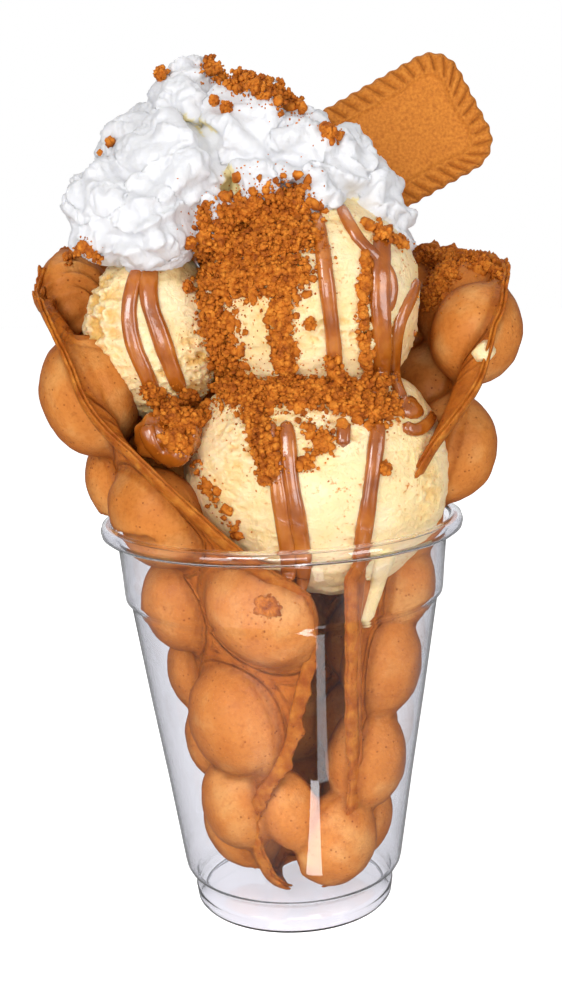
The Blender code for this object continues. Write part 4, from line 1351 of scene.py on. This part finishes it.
# %% [markdown]
# ## The crumbs
# Crushed biscuit lies in thick drifts and thins out to dust. Twelve irregular grains are
# modelled once. Copies are then dropped along strokes: thick in a stroke's middle, loose at
# its sides. They go into a few large meshes made from arrays, since there are thousands.
# %% Where crumbs lie
CRUMB_STROKES = (               # half width in the picture, grains, pile in mm, places
    (24, 700, 2.8, ((222, 222), (262, 212), (298, 200))),
    (24, 700, 2.8, ((215, 250), (262, 244), (308, 236))),
    (22, 600, 2.6, ((214, 282), (255, 278), (300, 272))),
    (18, 600, 2.6, ((214, 300), (222, 345), (235, 398))),
    (13, 380, 2.2, ((284, 290), (281, 340), (290, 392))),
    (17, 950, 3.0, ((222, 390), (262, 396), (310, 392), (350, 404), (392, 410))),
    (13, 330, 2.6, ((252, 405), (262, 438), (270, 472))),
    (13, 260, 2.4, ((166, 416), (186, 424), (204, 408))),
    (9, 110, 2.0, ((170, 436), (182, 446))),
    (8, 150, 2.2, ((146, 386), (160, 404), (176, 404), (192, 394))),
    (10, 160, 1.8, ((206, 208), (206, 240), (200, 300))),
    (11, 24, 0.8, ((194, 462), (216, 500), (242, 540))),
    (14, 50, 0.8, ((300, 420), (330, 440), (300, 470))),
    (10, 90, 1.4, ((330, 360), (350, 390), (392, 380))),
    (6, 160, 1.4, ((366, 262), (362, 318), (368, 392))),
    (7, 60, 1.2, ((368, 224), (404, 246))),
    (12, 420, 2.8, ((210, 68), (236, 82), (264, 88), (300, 106))),
    (5, 50, 1.6, ((322, 130), (336, 138))),
    (13, 300, 1.8, ((424, 252), (452, 262), (430, 300))),
    (8, 130, 1.4, ((446, 252), (480, 262), (504, 276))),
    (6, 40, 1.2, ((66, 262), (84, 246), (100, 258))),
    (8, 70, 1.4, ((262, 605), (275, 609))),
)
LUMPS = (                       # single lumps: place and radius in mm
    (163, 76, 2.0), (142, 93, 1.5), (129, 108, 1.8), (112, 143, 1.2), (101, 154, 0.6),
    (207, 62, 1.3), (216, 102, 1.3), (227, 111, 1.7), (309, 321, 1.6), (327, 134, 1.9),
    (187, 243, 1.8), (187, 288, 1.6), (269, 478, 2.1), (383, 468, 1.7), (228, 250, 1.5),
)
GRAIN_RADIUS = (0.30, 0.85)     # most grains are near the small end
SMALL_GRAINS = 2.2
BED_RADIUS = (0.9, 1.5)         # the lumps that the grains of a drift lie on
BED_SHARE, BED_LIFT = 0.10, 0.25
DUST_RADIUS = (0.14, 0.30)
DUST_SHARE = 1.35               # grains and specks of dust, for one grain
SIDE_SPREAD, DUST_SPREAD = 0.5, 1.9
PILE_SHARE = (0.15, 1.0)
GRAIN_KINDS = 12
GRAIN_CROWD = 3                 # grains for each one counted in a stroke
GRAIN_UNEVEN, GRAIN_LUMPS, GRAIN_STRETCH = 0.5, 0.9, 0.22
GRAINS_A_PIECE = 9900
LUMP_GRAINS, LUMP_LEAST = 34, 10  # more for a large lump, by the square of its radius
LUMP_SPREAD = (0.3, 0.9)
CRUMB_SEED = 21
ROUND = 6.28


def any_way(draw):
    """A way in space, all equally likely."""
    return Vector((draw.gauss(0, 1), draw.gauss(0, 1), draw.gauss(0, 1))).normalized()


def grain_radius(draw):
    """A grain's size: small ones are common."""
    low, high = GRAIN_RADIUS
    return low + (high - low) * draw.random() ** SMALL_GRAINS


def dropped(draw):
    """Where the grains, the lumps under them and the dust land: (place, radius) of each."""
    grains, bed, dust = [], [], []
    for half, number, pile, points in CRUMB_STROKES:
        number *= GRAIN_CROWD
        lengths, points = lengths_along(points), np.array(points, float)
        for index in range(int(number * DUST_SHARE)):
            along = draw.uniform(0.0, lengths[-1])
            off = draw.gauss(0.0, SIDE_SPREAD)
            is_dust = index >= number
            off = off * DUST_SPREAD if is_dust else off
            centre = np.array([np.interp(along, lengths, points[:, i]) for i in (0, 1)])
            heading = draw.uniform(0.0, ROUND)
            spot = centre + np.array((math.cos(heading), math.sin(heading))) * off * half
            hit = seen(*spot, tree_parts)
            if not hit:
                continue
            place, normal = hit
            heap = pile * max(0.0, 1.0 - off * off)
            if is_dust:
                dust.append((place, draw.uniform(*DUST_RADIUS)))
            elif index < number * BED_SHARE:
                bed.append((place + normal * heap * BED_LIFT, draw.uniform(*BED_RADIUS)))
            else:
                radius = grain_radius(draw)
                lift = radius * 0.5 + heap * draw.uniform(*PILE_SHARE)
                grains.append((place + normal * lift, radius))
    for across, down, size in LUMPS:
        hit = seen(across, down, tree_parts)
        if not hit:
            continue
        heart = hit[0] + hit[1] * size * 0.5
        for _ in range(int(LUMP_GRAINS * size * size) + LUMP_LEAST):
            way = any_way(draw)
            place = heart + way * size * draw.uniform(*LUMP_SPREAD)
            grains.append((place, grain_radius(draw)))
    return grains, bed, dust


draw = random.Random(CRUMB_SEED)
grains, bed, dust = dropped(draw)
print("Dropped", len(grains), "grains and", len(dust), "specks")


# %% The grains themselves
def grain_kinds(subdivisions):
    """A few irregular grains of radius 1: points and faces."""
    kinds = []
    for kind in range(GRAIN_KINDS):
        item = add_ball("grain", subdivisions)
        places, faces = places_of(item), np.array(faces_of(item))
        reach = 1.0 + GRAIN_UNEVEN * rough(places, GRAIN_LUMPS, 2, kind * 7.3)
        stretch = 1.0 + GRAIN_STRETCH * np.cos(np.arange(3) * 2.1 + kind * 1.7)
        kinds.append((places * reach[:, None] * stretch, faces))
        bpy.data.objects.remove(item, do_unlink=True)
    return kinds


def piled(name, kinds, spots, draw):
    """One mesh of a grain at each spot: (place, radius)."""
    places, faces, count = [], [], 0
    for place, radius in spots:
        shape, shape_faces = kinds[draw.randrange(GRAIN_KINDS)]
        axis = any_way(draw)
        turn = np.array(Matrix.Rotation(draw.uniform(0.0, ROUND), 3, axis))
        places.append(shape @ turn * radius + np.array(place))
        faces.append(shape_faces + count)
        count += len(shape)
    return object_from(name, np.concatenate(places), np.concatenate(faces).tolist())


grain_shapes, lump_shapes = grain_kinds(1), grain_kinds(2)
for start in range(0, len(grains), GRAINS_A_PIECE):
    name = "crumb_drift_%d" % (start // GRAINS_A_PIECE)
    item = piled(name, grain_shapes, grains[start:start + GRAINS_A_PIECE], draw)
    serve(item, CRUMB, "ice_cream_upper")
serve(piled("crumb_lumps", lump_shapes, bed, draw), CRUMB, "ice_cream_upper")
serve(piled("crumb_dust", grain_shapes, dust, draw), CRUMB, "ice_cream_upper")
